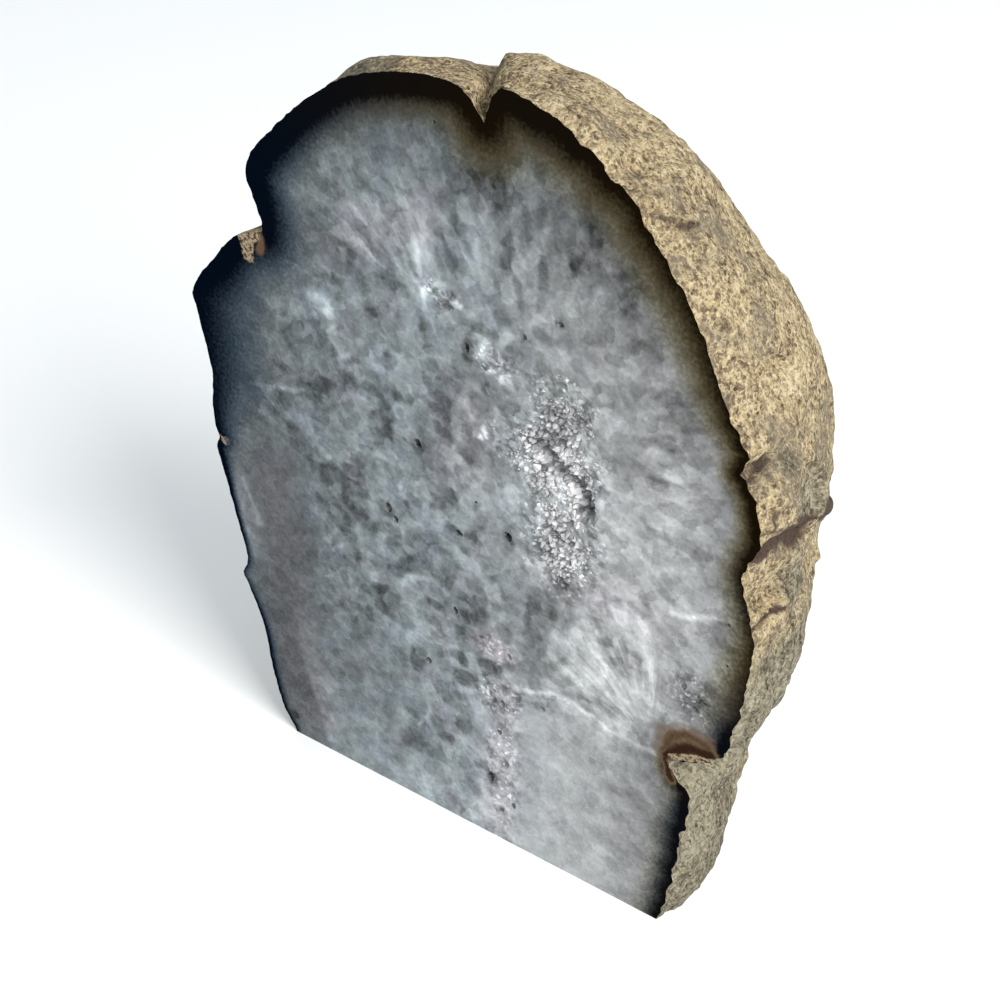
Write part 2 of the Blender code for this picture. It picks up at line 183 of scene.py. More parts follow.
# Darkening in recesses of the rind, dirt and painted shade together: angle, depth, radius and amount
DIRT_AND_SHADE = [
    (32, 0.4, 1.7, 0.9), (31.5, 14.4, 1.3, 0.7), (30.2, 9.5, 1.5, 0.8), (43.2, 0.9, 0.8, 0.7),
    (29.4, 16.4, 1.8, 0.9), (36.6, 1.6, 0.7, 0.6), (126, 1, 2.2, 0.32), (100, 1.5, 3, 0.24),
    (108, 1.5, 4, 0.28),
]
# The ridge right of the notch at the top: its left edge on the plan, as two points, and its height
CREST_FOOT = ((4.6, 0), (-1.9, 11))
CREST_TOP = 99.8
CREST_SLOPE = 0.045
CREST_SIDES = ((-0.1, 0.8), (16.0, 10.0))
CREST_DEPTHS = ((0.1, 1.8), (14.0, 8.5))
CREST_FROM = 85.0
CREST_ROUGH = [(2.4, 0.35), (1.1, 0.2)]
CREST_CAP = 0.55

# What the mesh's material slots and the kinds of its points stand for
FACE_SLOT, RIND_SLOT, BASE_SLOT, PIT_SLOT = range(4)
PLAIN, WALL = range(2)


def soft_step(low, high, value):
    """Rise smoothly from 0 at low to 1 at high."""
    share = np.clip((value - low) / (high - low), 0.0, 1.0)
    return share * share * (3.0 - 2.0 * share)


def window(value, rise, fall):
    """Be 1 between a soft rise and a soft fall, and 0 outside them."""
    return soft_step(*rise, value) * soft_step(*fall, value)


def bell(value, power=2):
    """Fall off smoothly from 1 at 0."""
    return np.exp(-value ** power)


def rough_noise(places, layers, shift=0.0):
    """Add up layers of noise, each with a wavelength and a height. The shift gives other noise."""
    total = np.zeros(len(places))
    for wavelength, rise in layers:
        total += [
            rise * noise.noise(Vector((p[0] + shift, p[1], p[2])) / wavelength) for p in places]
    return total


def in_space(flat, depth=0.0):
    """Put places of the face, x and z, at a depth behind it."""
    return np.column_stack([flat[:, 0], np.full(len(flat), depth), flat[:, 1]])


def closed(ring):
    """Repeat the first point of a ring at its end."""
    return np.vstack([ring, ring[:1]])


def scaled_ring(ring, scale):
    """Scale a ring around its middle."""
    middle = ring.mean(axis=0)
    return middle + (ring - middle) * scale


def step_lengths(ring):
    """Give the distance from each point of a ring to the next one."""
    return np.linalg.norm(np.roll(ring, -1, axis=0) - ring, axis=1)


def length_along(ring):
    """Give the length along a ring at each point, and the whole length last."""
    return np.concatenate([[0.0], np.cumsum(step_lengths(ring))])


def loop_edges(start, count):
    """Join a row of points with edges into a loop, by their numbers."""
    return [(start + i, start + (i + 1) % count) for i in range(count)]


def ring_quads(near, far, count):
    """Join two loops of as many points with four-sided faces."""
    return [(a, b, b + far - near, a + far - near) for a, b in loop_edges(near, count)]


def path_distance(spots, corners):
    """Give the distance of places from a line through corners."""
    best = np.full(len(spots), np.inf)
    for start, end in zip(corners, corners[1:]):
        start, edge = np.array(start), np.subtract(end, start)
        share = np.clip(((spots - start) @ edge) / (edge @ edge), 0.0, 1.0)
        best = np.minimum(best, np.hypot(*(spots - start - share[:, None] * edge).T))
    return best


def outline_distance(spots, polygon):
    """Give the distance of places from a closed outline."""
    return path_distance(spots, closed(polygon))


def inside_polygon(spots, polygon):
    """Tell which places lie inside a closed outline."""
    inside = np.zeros(len(spots), bool)
    x, z = spots[:, 0], spots[:, 1]
    for (x0, z0), (x1, z1) in zip(polygon, np.roll(polygon, -1, axis=0)):
        crosses = (z0 > z) != (z1 > z)
        if z0 != z1:
            inside ^= crosses & (x < x0 + (z - z0) / (z1 - z0) * (x1 - x0))
    return inside


def well_inside(spots, polygon, margin):
    """Keep the places inside a closed outline that are further from it than a margin."""
    spots = spots[inside_polygon(spots, polygon)]
    return spots[outline_distance(spots, polygon) > margin]


def triangulate(points, edges, outline, output):
    """Fill an outline: the points, the triangles, and which of the given points each point is."""
    made = geometry.delaunay_2d_cdt([Vector(p) for p in points], edges, [], output, 1e-5, True)
    flat = np.array([tuple(p) for p in made[0]])
    triangles = np.array([tuple(t) for t in made[2]])
    triangles = triangles[inside_polygon(flat[triangles].mean(axis=1), outline)]
    return flat, triangles, np.array([own[0] if own else -1 for own in made[3]])


def quick_mesh(name, points, faces):
    """Make a mesh from lists of points and faces."""
    mesh = bpy.data.meshes.new(name)
    mesh.from_pydata([tuple(p) for p in points], [], faces)
    mesh.update()
    return mesh


def point_values(mesh, name):
    """Read three numbers, such as the place or the normal, at each point of a mesh."""
    values = np.empty(len(mesh.vertices) * 3)
    mesh.vertices.foreach_get(name, values)
    return values.reshape(-1, 3)


def set_vectors(mesh, name, values):
    """Store three numbers at each point of a mesh."""
    layer = mesh.attributes.new(name, "FLOAT_VECTOR", "POINT")
    layer.data.foreach_set("vector", np.asarray(values, np.float32).ravel())


def add_object(name, data):
    """Put an object with its data in the scene."""
    made = bpy.data.objects.new(name, data)
    bpy.context.scene.collection.objects.link(made)
    return made


def outline_tangent(points, index):
    """Give the smooth curve's direction at an outline point."""
    before = points[index - 1][:2]
    after = points[(index + 1) % len(points)][:2]
    here = points[index][:2]
    return np.subtract(after, before) / (math.dist(before, here) + math.dist(here, after))


def smooth_outline(points, spacing):
    """Draw a smooth closed curve through points, with its sharp corners kept."""
    curve = []
    for index, start in enumerate(points):
        end_index = (index + 1) % len(points)
        end = points[end_index]
        here = np.array(start[:2])
        there = np.array(end[:2])
        length = math.dist(here, there)
        chord = (there - here) / length
        leave = chord if start[2] else outline_tangent(points, index)
        arrive = chord if end[2] else outline_tangent(points, end_index)
        steps = max(1, round(length / spacing))
        for step in range(steps):
            s = step / steps
            curve.append(
                (2 * s**3 - 3 * s**2 + 1) * here + (s**3 - 2 * s**2 + s) * length * leave
                + (3 * s**2 - 2 * s**3) * there + (s**3 - s**2) * length * arrive)
    return np.array(curve)


def even_outline(points, count):
    """Space the outline's points evenly, with its sharp corners kept."""
    curve = smooth_outline(points, 0.1)
    along = length_along(curve)
    wanted = np.linspace(0.0, along[-1], count, endpoint=False)
    even = np.column_stack([np.interp(wanted, along, axis) for axis in closed(curve).T])
    for x, z, sharp in points:
        if sharp:
            even[np.argmin(np.hypot(even[:, 0] - x, even[:, 1] - z))] = (x, z)
    return even


def body_outline(outline):
    """Blur the outline along its length, for the plain form behind its small bumps."""
    steps = step_lengths(outline)
    along = length_along(outline)
    gap = np.abs(along[:-1, None] - along[None, :-1])
    gap = np.minimum(gap, along[-1] - gap)
    weight = np.exp(-0.5 * (gap / BODY_SMOOTHING) ** 2) * (steps + np.roll(steps, 1))
    return weight @ outline / weight.sum(axis=1, keepdims=True)


def jitter_outline(outline):
    """Roughen the rim as broken stone is: finely on the left, with small teeth on the right."""
    along = np.roll(outline, -1, axis=0) - np.roll(outline, 1, axis=0)
    along /= np.linalg.norm(along, axis=1, keepdims=True)
    outward = np.column_stack([-along[:, 1], along[:, 0]])
    places = in_space(outline)
    right = np.clip((outline[:, 0] - TOOTH_START) / TOOTH_RAMP, 0.0, 1.0) * (outline[:, 1] > 0.5)
    push = rough_noise(places, RIM_JITTER, 40.0) * (1.0 - right)
    push += rough_noise(places, TOOTH_JITTER, 90.0) * right
    return outline + outward * push[:, None]


def dome_ring(outline, body, depth):
    """Give one section of the dome at a depth behind the face."""
    share = depth / DOME_DEPTH
    size = (1.0 - share**DOME_ROUNDNESS) ** (1.0 / DOME_ROUNDNESS)
    hub = np.array([0.0, HUB_Z])
    drift = np.array([APEX_SHIFT_X, APEX_SHIFT_Z]) * share
    detail = (outline - body) * math.exp(-depth / DETAIL_FADE)
    return in_space(hub + drift + size * (body - hub + detail), depth)


def ring_depth(step):
    """Space the dome's sections: close behind the rim and at the apex, wider between."""
    turn = (step / RINGS) ** RING_CROWDING * math.pi / 2
    return DOME_DEPTH * math.sin(turn) ** (2.0 / DOME_ROUNDNESS)


def hub_angle(flat):
    """Give the angle around the hub of places of the face, in degrees."""
    return np.degrees(np.arctan2(flat[:, 1] - HUB_Z, flat[:, 0]))


def rind_point(outline, body, angle, depth):
    """Find the place on the dome at an angle around the hub and a depth behind the face."""
    apart = np.abs((hub_angle(body) - angle + 180.0) % 360.0 - 180.0)
    return dome_ring(outline, body, depth)[np.argmin(apart)]


def rind_distance(places, outline, body, angle, depth):
    """Give the distance of places from one on the dome, given by its angle and depth."""
    return np.linalg.norm(places - rind_point(outline, body, angle, depth), axis=1)


def rind_path(outline, body, corners, steps):
    """Lay a row of points along a line on the rind given by angles and depths."""
    corners = np.array(corners, float)
    marks = np.linspace(0.0, len(corners) - 1.0, steps)
    angles, depths = [np.interp(marks, np.arange(len(corners)), column) for column in corners.T]
    return np.array([rind_point(outline, body, a, d) for a, d in zip(angles, depths)])


def nearest_on_path(places, path):
    """Give each place's distance to a row of points and the index of the nearest one."""
    apart = np.linalg.norm(places[:, None] - path[None], axis=2)
    nearest = apart.argmin(axis=1)
    return apart[np.arange(len(places)), nearest], nearest


def rind_relief(places, outline, body):
    """Give how far each place on the rind stands out from the plain dome."""
    height = np.zeros(len(places))
    for angle, depth, radius, rise in LUMPS:
        height += rise * bell(rind_distance(places, outline, body, angle, depth) / radius)
    for start_angle, start_depth, end_angle, end_depth, half_width, rise in CREASES:
        path = rind_path(
            outline, body, [(start_angle, start_depth), (end_angle, end_depth)], CREASE_STEPS)
        height += rise * bell(nearest_on_path(places, path)[0] / half_width)
    return height + rough_noise(places, ROUGH_RELIEF)


def fine_relief(places, normals, along, outline, body):
    """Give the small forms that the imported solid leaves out: grooves, steps, knobs and grain."""
    height = rough_noise(places, FINE_RELIEF, 15.0)
    unrolled = np.column_stack([along / STRIAE_LENGTH, places[:, 1], np.zeros(len(places))])
    striped = window(hub_angle(places[:, [0, 2]]), *STRIAE_ANGLES)
    height += striped * rough_noise(unrolled, STRIAE, 45.0)
    warp = rough_noise(places, RELIEF_WARP, 60.0)
    # Darkening in the recesses, dirt and painted shade: in grooves, along the steps, in dents, around
    # knobs and at the listed spots
    dirt_and_shade = np.zeros(len(places))
    for corners, half_width, sink in GROOVES:
        path = rind_path(outline, body, corners, PATH_STEPS)
        cut = bell((nearest_on_path(places, path)[0] + warp * 0.6) / half_width)
        height -= sink * cut
        dirt_and_shade += cut * min(1.0, sink)
    for corners, rise, run in LEDGES:
        path = rind_path(outline, body, corners, PATH_STEPS)
        apart, nearest = nearest_on_path(places, path)
        across = np.cross(normals, np.gradient(path, axis=0)[nearest])
        across /= np.linalg.norm(across, axis=1, keepdims=True) + 1e-9
        side = np.einsum("ij,ij->i", places - path[nearest], across) + warp
        inside = bell(np.maximum(apart - np.abs(side), 0.0) / LEDGE_ENDS)
        step = np.clip(side / LEDGE_EDGE + 0.5, 0.0, 1.0) * np.exp(-np.maximum(side, 0.0) / run)
        height += rise * step * inside
        dirt_and_shade += bell(side / LEDGE_SHADE_WIDTH) * inside * LEDGE_SHADE
    for angle, depth, radius, rise in KNOBS:
        apart = rind_distance(places, outline, body, angle, depth)
        bump = bell(apart / radius, 4)
        height += rise * bump
        dirt_and_shade += bump * 0.5 * (rise < 0)
        dirt_and_shade += bell((apart - radius * KNOB_SHADE_REACH) / KNOB_SHADE_WIDTH) * 0.4
    for angle, depth, radius, amount in DIRT_AND_SHADE:
        apart = rind_distance(places, outline, body, angle, depth)
        dirt_and_shade += amount * bell((apart + warp) / radius)
    for angle, depth, radius, sink in FACETS:
        apart = rind_distance(places, outline, body, angle, depth)
        raised = places + normals * height[:, None] - rind_point(outline, body, angle, depth)
        above = raised @ normals[apart.argmin()] + sink
        height -= np.maximum(above, 0.0) * soft_step(radius * 1.1, radius, apart)
    return height, dirt_and_shade


def raise_crest(points):
    """Lift the ridge beside the notch at the top, no higher than the stone's highest point."""
    foot, end = np.array(CREST_FOOT)
    course = (end - foot) / np.linalg.norm(end - foot)
    away = points[:, :2] - foot
    side = away[:, 0] * course[1] - away[:, 1] * course[0]
    depth, height = points[:, 1], points[:, 2]
    share = window(side, *CREST_SIDES) * window(depth, *CREST_DEPTHS) * (height > CREST_FROM)
    top = CREST_TOP - 0.25 - CREST_SLOPE * np.maximum(side - 4.5, 0.0) ** 2
    top += rough_noise(points, CREST_ROUGH, 75.0) - 1.7 * np.exp(-np.maximum(side, 0.0) / 0.9)
    high = height + np.maximum(top - height, 0.0) * share
    over = (high - CREST_TOP + 0.4) / CREST_CAP
    high = np.where(over > 0.0, CREST_TOP - 0.4 + CREST_CAP * np.tanh(over), high)
    return np.column_stack([points[:, :2], np.where(depth > 0.0, high, height)])


def dome_rings(outline, body):
    """Give the rind's rings from the rim to the apex, with fewer points as they close up."""
    rings = [in_space(outline)]
    for step in range(1, RINGS):
        ring = dome_ring(outline, body, ring_depth(step))
        if step_lengths(ring).mean() < FINEST_SPACING and len(ring) > FEWEST_POINTS:
            outline, body, ring = outline[::2], body[::2], ring[::2]
        rings.append(ring)
    return rings


def rind_faces(rings):
    """Join the rings with faces, and close the apex on one last point."""
    starts = np.cumsum([0] + [len(ring) for ring in rings]).tolist()
    faces = []
    for near, far, ring, after in zip(starts, starts[1:], rings, rings[1:]):
        if len(ring) == len(after):
            faces += ring_quads(near, far, len(ring))
            continue
        for i, j in loop_edges(0, len(after)):
            middle = near + 2 * i + 1
            faces += [(middle - 1, middle, far + i), (middle, near + 2 * j, far + j),
                      (middle, far + j, far + i)]
    faces += [(a, b, starts[-1]) for a, b in loop_edges(starts[-2], len(rings[-1]))]
    return faces


def vertex_normals(points, faces):
    """Let the mesh code work out the normals at points."""
    mesh = quick_mesh("scratch", points, faces)
    normals = point_values(mesh, "normal")
    bpy.data.meshes.remove(mesh)
    return normals


def shaped_rind(outline, body):
    """Build the rind's points and faces with all its relief."""
    rings = dome_rings(outline, body)
    points = np.vstack(rings + [[(APEX_SHIFT_X, DOME_DEPTH, HUB_Z + APEX_SHIFT_Z)]])
    faces = rind_faces(rings)
    normals = vertex_normals(points, faces)
    if np.einsum("ij,ij->i", normals, points - (0.0, 5.0, HUB_Z)).mean() < 0.0:
        normals = -normals
    depth = points[:, 1]
    height = rind_relief(points, outline, body) * np.minimum(1.0, depth / RELIEF_RAMP)
    length = step_lengths(outline).mean()
    along = [np.arange(len(ring)) * length * len(outline) / len(ring) for ring in rings]
    along = np.concatenate(along + [[0.0]])
    small, dirt_and_shade = fine_relief(points, normals, along, outline, body)
    height += small * np.minimum(1.0, depth / FINE_RAMP)
    return raise_crest(points + normals * height[:, None]), faces, along, dirt_and_shade


def hollow_outline():
    """Draw the hollow's edge finely, with the small bays of broken crystals."""
    curve = smooth_outline([(x, z, 0) for x, z in HOLLOW], 0.35)
    push = rough_noise(in_space(curve), HOLLOW_BAYS, 30.0) - HOLLOW_INSET
    away = curve - curve.mean(axis=0)
    return curve + away / np.linalg.norm(away, axis=1, keepdims=True) * push[:, None]


def pit_loops(x, z, radius, stretch, sink, chance):
    """Give a pit's rings, from its edge to its floor: points and their depth."""
    count = max(9, round(radius * 26))
    turn = chance.uniform(0, math.tau)
    wobble = [chance.uniform(0.72, 1.22) for _ in range(count)]
    loops = []
    for scale, depth in PIT_RINGS:
        ring = []
        for i, after in loop_edges(0, count):
            angle = turn + math.tau * i / count
            size = radius * scale * (wobble[i] + 0.5 * wobble[after]) / 1.5
            ring.append((x + size * math.cos(angle), z + size * stretch * math.sin(angle)))
        loops.append((np.array(ring), sink * depth))
    return loops


def face_grid(rim):
    """Lay a grid of triangles' corners over the face, well inside the rim."""
    low, high = rim.min(axis=0), rim.max(axis=0)
    row_height = FACE_GRID * math.sqrt(3) / 2
    rows = []
    for row in range(int((high[1] + 1.0) / row_height)):
        xs = np.arange(low[0] + FACE_GRID / 2 * (row % 2), high[0], FACE_GRID)
        rows.append(np.column_stack([xs, np.full(len(xs), -1.0 + row * row_height)]))
    return well_inside(np.vstack(rows), rim, FACE_GRID * 0.5)


def shaped_face(rim):
    """Triangulate the polished face between the rim, the hollow and the pits."""
    chance = random.Random(11)
    hollow = hollow_outline()
    loops = [(hollow, 0.0), (scaled_ring(hollow, HOLLOW_WALL_SCALE), HOLLOW_WALL_DEPTH),
             (scaled_ring(hollow, HOLLOW_FLOOR_SCALE), HOLLOW_DEPTH)]
    for pit in PITS:
        loops += pit_loops(*pit, chance)
    points, depths, kinds = list(rim), [0.0] * len(rim), [PLAIN] * len(rim)
    edges = loop_edges(0, len(rim))
    grid = face_grid(rim)
    for ring, depth in loops:
        edges += loop_edges(len(points), len(ring))
        points += list(ring)
        depths += [depth] * len(ring)
        kinds += [WALL] * len(ring)
        if depth == 0.0:
            near = np.abs(grid - ring.mean(axis=0)).max(axis=1) < np.ptp(ring, axis=0).max()
            spots = grid[near]
            clear = outline_distance(spots, ring) > FACE_GRID * 0.35
            keep = ~near
            keep[near] = clear & ~inside_polygon(spots, ring)
            grid = grid[keep]
    flat, triangles, source = triangulate(points + list(grid), edges, rim, 0)
    # A grid point, and one that the triangles add, takes the last values here
    own = np.where((source >= 0) & (source < len(points)), source, len(points))
    return (flat, np.array(depths + [0.0])[own], np.array(kinds + [PLAIN])[own], triangles, source,
            hollow)


def skin_values(rind, along, dirt_and_shade, outline, body):
    """Give the rind's length along the rim, its darkening of dirt and painted shade, and how grey it is.
    """
    # Greyer and darker towards the lower right near the rim: partly the rind's own grey, partly painted
    # shade
    grey_and_shade = window(hub_angle(rind[:, [0, 2]]), *GREY_SHADE_ANGLES) * soft_step(*GREY_SHADE_DEPTHS, rind[:, 1])
    for angle, depth, radius in GREY_PATCHES:
        apart = rind_distance(rind, outline, body, angle, depth)
        grey_and_shade = np.maximum(grey_and_shade, 0.9 * bell(apart / radius, 4))
    return np.column_stack([along, dirt_and_shade, grey_and_shade])


def cut_base(mesh):
    """Cut a closed mesh off flat at the base, and give the new mesh its shading."""
    bm = bmesh.new()
    bm.from_mesh(mesh)
    bpy.data.meshes.remove(mesh)
    bmesh.ops.recalc_face_normals(bm, faces=bm.faces)
    cut = bmesh.ops.bisect_plane(
        bm, geom=bm.verts[:] + bm.edges[:] + bm.faces[:], dist=0.0001, plane_co=(0, 0, 0),
        plane_no=(0, 0, -1), clear_outer=True)
    edges = [item for item in cut["geom_cut"] if isinstance(item, bmesh.types.BMEdge)]
    made = bmesh.ops.contextual_create(bm, geom=edges)["faces"]
    for face in made:
        face.material_index = BASE_SLOT
    bmesh.ops.triangulate(bm, faces=made)
    bmesh.ops.recalc_face_normals(bm, faces=bm.faces)
    for edge in bm.edges:
        if len({face.material_index for face in edge.link_faces}) > 1:
            edge.smooth = False
    for face in bm.faces:
        face.smooth = face.material_index == RIND_SLOT
    mesh = bpy.data.meshes.new("stone")
    bm.to_mesh(mesh)
    bm.free()
    return mesh


def build_stone():
    """Build the whole stone as one closed mesh, cut off flat at the base."""
    outline = jitter_outline(even_outline(RIM + BELOW_BASE, OUTLINE_POINTS))
    body = body_outline(outline)
    rind, faces, along, dirt_and_shade = shaped_rind(outline, body)
    flat, depth, kind, triangles, source, hollow = shaped_face(outline)
    index_of = np.where((source >= 0) & (source < len(outline)), source, -1)
    extra = np.flatnonzero(index_of < 0)
    index_of[extra] = len(rind) + np.arange(len(extra))
    points = np.vstack([rind, in_space(flat[extra], depth[extra])])
    walls = (kind[triangles] == WALL).all(axis=1) & (depth[triangles].max(axis=1) > 0.0)
    slots = [RIND_SLOT] * len(faces) + np.where(walls, PIT_SLOT, FACE_SLOT).tolist()
    mesh = quick_mesh("stone", points, faces + [tuple(t) for t in index_of[triangles].tolist()])
    mesh.polygons.foreach_set("material_index", slots)
    skin = np.zeros((len(points), 3))
    skin[:len(rind)] = skin_values(rind, along, dirt_and_shade, outline, body)
    set_vectors(mesh, "skin", skin)
    return cut_base(mesh), outline, hollow


def to_part(mesh):
    """Move a mesh from face millimetres to the part's frame, kept inside the model's box."""
    mesh.transform(Matrix.Scale(MM, 4) @ Matrix.Translation((-BOX_CENTRE_X, -BOX_CENTRE_Y, 0.0)))
    low, high = np.array(cad_box)
    mesh.vertices.foreach_set("co", np.clip(point_values(mesh, "co"), low, high).ravel())
    mesh.update()


# The polished face, painted in millimetres. Tones are brightness from 0 to 1.
# Brightness from left to right
BASE_TONE = [
    (-30, 0.43), (-22, 0.46), (-12, 0.515), (-4, 0.525), (4, 0.56), (12, 0.61), (20, 0.655), (30, 0.665),
]
# The face is brighter near its lower edge: by how much, and between which heights
LOW_TONE = (0.06, 26.0, 6.0)

# The dark band inside the rim: place on the rim, width of the black part, width of its fade and
# how brown it is
BAND = [
    (-27.4, 0, 0.4, 0.8, 0.2), (-29.4, 3.5, 0.5, 1, 0.2), (-30.7, 8.5, 0.6, 1, 0), (-31.5, 15, 0.6, 1, 0),
    (-33.5, 20, 0.5, 1, 0), (-34.6, 23.7, 0.1, 1.2, 0), (-34.3, 30, 0.5, 0.8, 0), (-36, 36, 0.6, 0.8, 0),
    (-37, 41, 1.2, 1.4, 0), (-37.2, 46.5, 1.6, 4.5, 0), (-36.8, 50, 1.8, 5, 0), (-36.7, 53, 2, 9, 0),
    (-37.2, 57, 3, 11, 0), (-38.5, 63.2, 4.6, 10, 0), (-36, 67.5, 4, 6, 0), (-31.3, 72.6, 3.8, 4.4, 0),
    (-26.5, 74.9, 2.4, 4.5, 0.1), (-27.5, 79, 4, 4.5, 0), (-27.3, 84, 3.8, 3.5, 0),
    (-24.8, 87, 3.4, 3.5, 0.1), (-19.6, 91.8, 3.2, 3, 0.3), (-14, 95.8, 3, 2.8, 0.5),
    (-8.5, 98, 2.9, 2.4, 0.7), (-3.4, 99, 2.9, 2.3, 0.8), (0.9, 99, 2.9, 2.6, 0.9), (4.4, 96, 1.8, 4.4, 1),
    (6.8, 100, 3.5, 3.4, 0.9), (9, 99.6, 3.6, 3.6, 0.9), (13.3, 98.3, 2.8, 3.8, 0.9),
    (20, 93.7, 1.7, 3.8, 1), (25.6, 87.7, 1.2, 3.8, 1), (30.2, 81, 0.9, 3.8, 1), (33.7, 73.1, 0.8, 3, 1),
    (36.4, 69, 1.1, 1.8, 1), (35.5, 66.8, 0.8, 1.5, 1), (36.9, 65, 1.1, 1.6, 1), (38.7, 59.3, 1.4, 1.9, 1),
    (36.6, 54.6, 0.5, 1.9, 0.9), (37.7, 51, 0.6, 2.4, 0.8), (38.6, 46.8, 0.4, 2.6, 1),
    (38.6, 42, 0.5, 3.4, 1), (37.6, 35, 0.7, 3.8, 0.7), (37, 31.5, 2.2, 2, 0.2),
    (36.3, 29.5, 1.5, 1.6, 0.2), (33.6, 27.7, 0.1, 0.5, 1), (29.6, 25.8, 0.2, 1.5, 1),
    (30.4, 24.4, 0.6, 1.8, 1), (32.3, 22.4, 1.4, 1.6, 0.6), (32.5, 19, 1.7, 2.4, 0.3),
    (32.2, 16.4, 1.3, 2.6, 0.4), (31.2, 9, 1.2, 2.6, 0.5), (29.9, 2, 1, 2.4, 0.5),
]
BAND_BLEND = 1.2
BAND_BATCH = 4000

# Broad soft clouds: x, z, half width, half height, turn in degrees and change of tone
CLOUDS = [
    (11, 90, 11, 4, 0, -0.09), (19, 80, 5, 9, 0, -0.09), (-7, 84, 5, 6, 20, 0.05),
    (-16, 81, 6, 6, 0, 0.03), (-10, 60, 9, 5, 0, 0.05), (-16, 52, 5, 4, 0, 0.07), (9, 20, 5, 8, 0, 0.07),
    (15, 18, 5, 8, 0, 0.05), (-2, 17, 3, 4, 0, 0.05), (23, 70, 6, 6, 0, -0.06), (-21, 64, 4, 5, 0, 0.07),
    (-7, 26, 4, 4, 0, 0.06), (-7, 38, 3, 4, 0, 0.05), (32, 44, 4, 8, 0, 0.05), (-2, 88, 5, 4, 0, 0.04),
    (22, 26, 4, 3, 0, 0.04), (28, 20, 3, 4, 0, -0.04), (-2, 79, 4, 5, 0, 0.06), (4, 75, 3, 7, 0, 0.03),
    (-20, 60, 6, 6, 0, -0.04), (-18.5, 68, 3.5, 4, 0, 0.03), (-11, 64, 3.5, 5, 0, -0.03),
    (-1, 59, 6, 5, 0, -0.05), (24, 44, 5, 5, 0, 0.04), (22, 33, 6, 4, 0, 0.05), (26, 57, 7, 6, 0, 0.01),
    (27, 71, 4, 5, 0, -0.06), (13, 40, 3, 4, 0, -0.05), (9.5, 34, 3, 5, 0, -0.07),
    (32, 36, 3, 4, 0, -0.12), (0, 2, 26, 5, 0, 0.05), (6, 12, 4, 9, 0, 0.03), (-29, 22, 4, 16, 8, -0.03),
    (-8, 10, 6, 4, 10, -0.03), (12, 60, 6, 10, 0, 0.04), (-33, 35, 3, 8, 10, 0.05),
    (6, 84, 4, 4, 0, -0.03), (24, 10, 4, 12, 0, -0.08), (-2, 53, 5, 3, 0, -0.05),
    (8, 43, 2.5, 3, 0, -0.05), (-7, 43, 2.5, 3, 0, -0.06), (-2, 33, 3, 3, 0, -0.07),
    (-25, 33, 3, 11, 0, -0.03), (-12, 15.5, 3, 4, 0, -0.06), (-2, 48, 2.5, 2.5, 0, 0.05),
    (18.5, 48, 2.5, 2.5, 0, 0.03),
]

# Plates of crystal with crisp edges: corners, change of tone, and change along the edge
PLATES = [
    ([(12.6, 34.9), (15.3, 38.3), (17.8, 38.7), (20.6, 37.5), (25.3, 32.9), (27, 29.8), (21.2, 29.9),
      (17.2, 30.4), (14, 32.2)], 0.06, 0.03),
    ([(15.3, 39.3), (17.8, 40.4), (20.8, 41), (22.6, 39.7), (26.4, 34.7), (26.8, 32.8),
      (21.2, 37.5)], 0.025, 0.02),
    ([(20.7, 44), (22.8, 45.2), (25.3, 43.8), (26.7, 41.1), (27.5, 37.9), (26.8, 34.9), (25.8, 37.7),
      (24.4, 39.9), (22.3, 41.2)], 0.07, 0.015),
    ([(25.3, 46.7), (29.2, 44.6), (33.2, 46), (35.8, 45.4), (33.4, 43.6), (29.3, 42.2),
      (26.3, 43.5)], -0.03, 0.02),
    ([(-6.7, 85.1), (-5, 84.8), (-3.5, 82.5), (-3.1, 79.6), (-2.4, 77.3), (-3.4, 75.9), (-5.1, 80.5),
      (-6.1, 82.8)], 0.04, 0.03),
    ([(-13.8, 83.6), (-11.4, 83.7), (-8.6, 81.4), (-6.4, 78.6), (-3.6, 74.3), (-4.8, 73.5), (-6.5, 76),
      (-9.3, 78.8), (-12.3, 81)], 0.035, 0.03),
    ([(-1.6, 84.1), (1.7, 84.1), (2.9, 81.5), (2.6, 77.9), (-0.1, 76.4), (-1.7, 77.5),
      (-2.7, 80.3)], -0.03, 0.02),
    ([(-20.9, 69.8), (-17.8, 69.3), (-16.2, 68.1), (-16.7, 65.6), (-18.3, 67.4),
      (-20.1, 67.9)], 0.03, 0.04),
]
PLATE_EDGE = 0.25

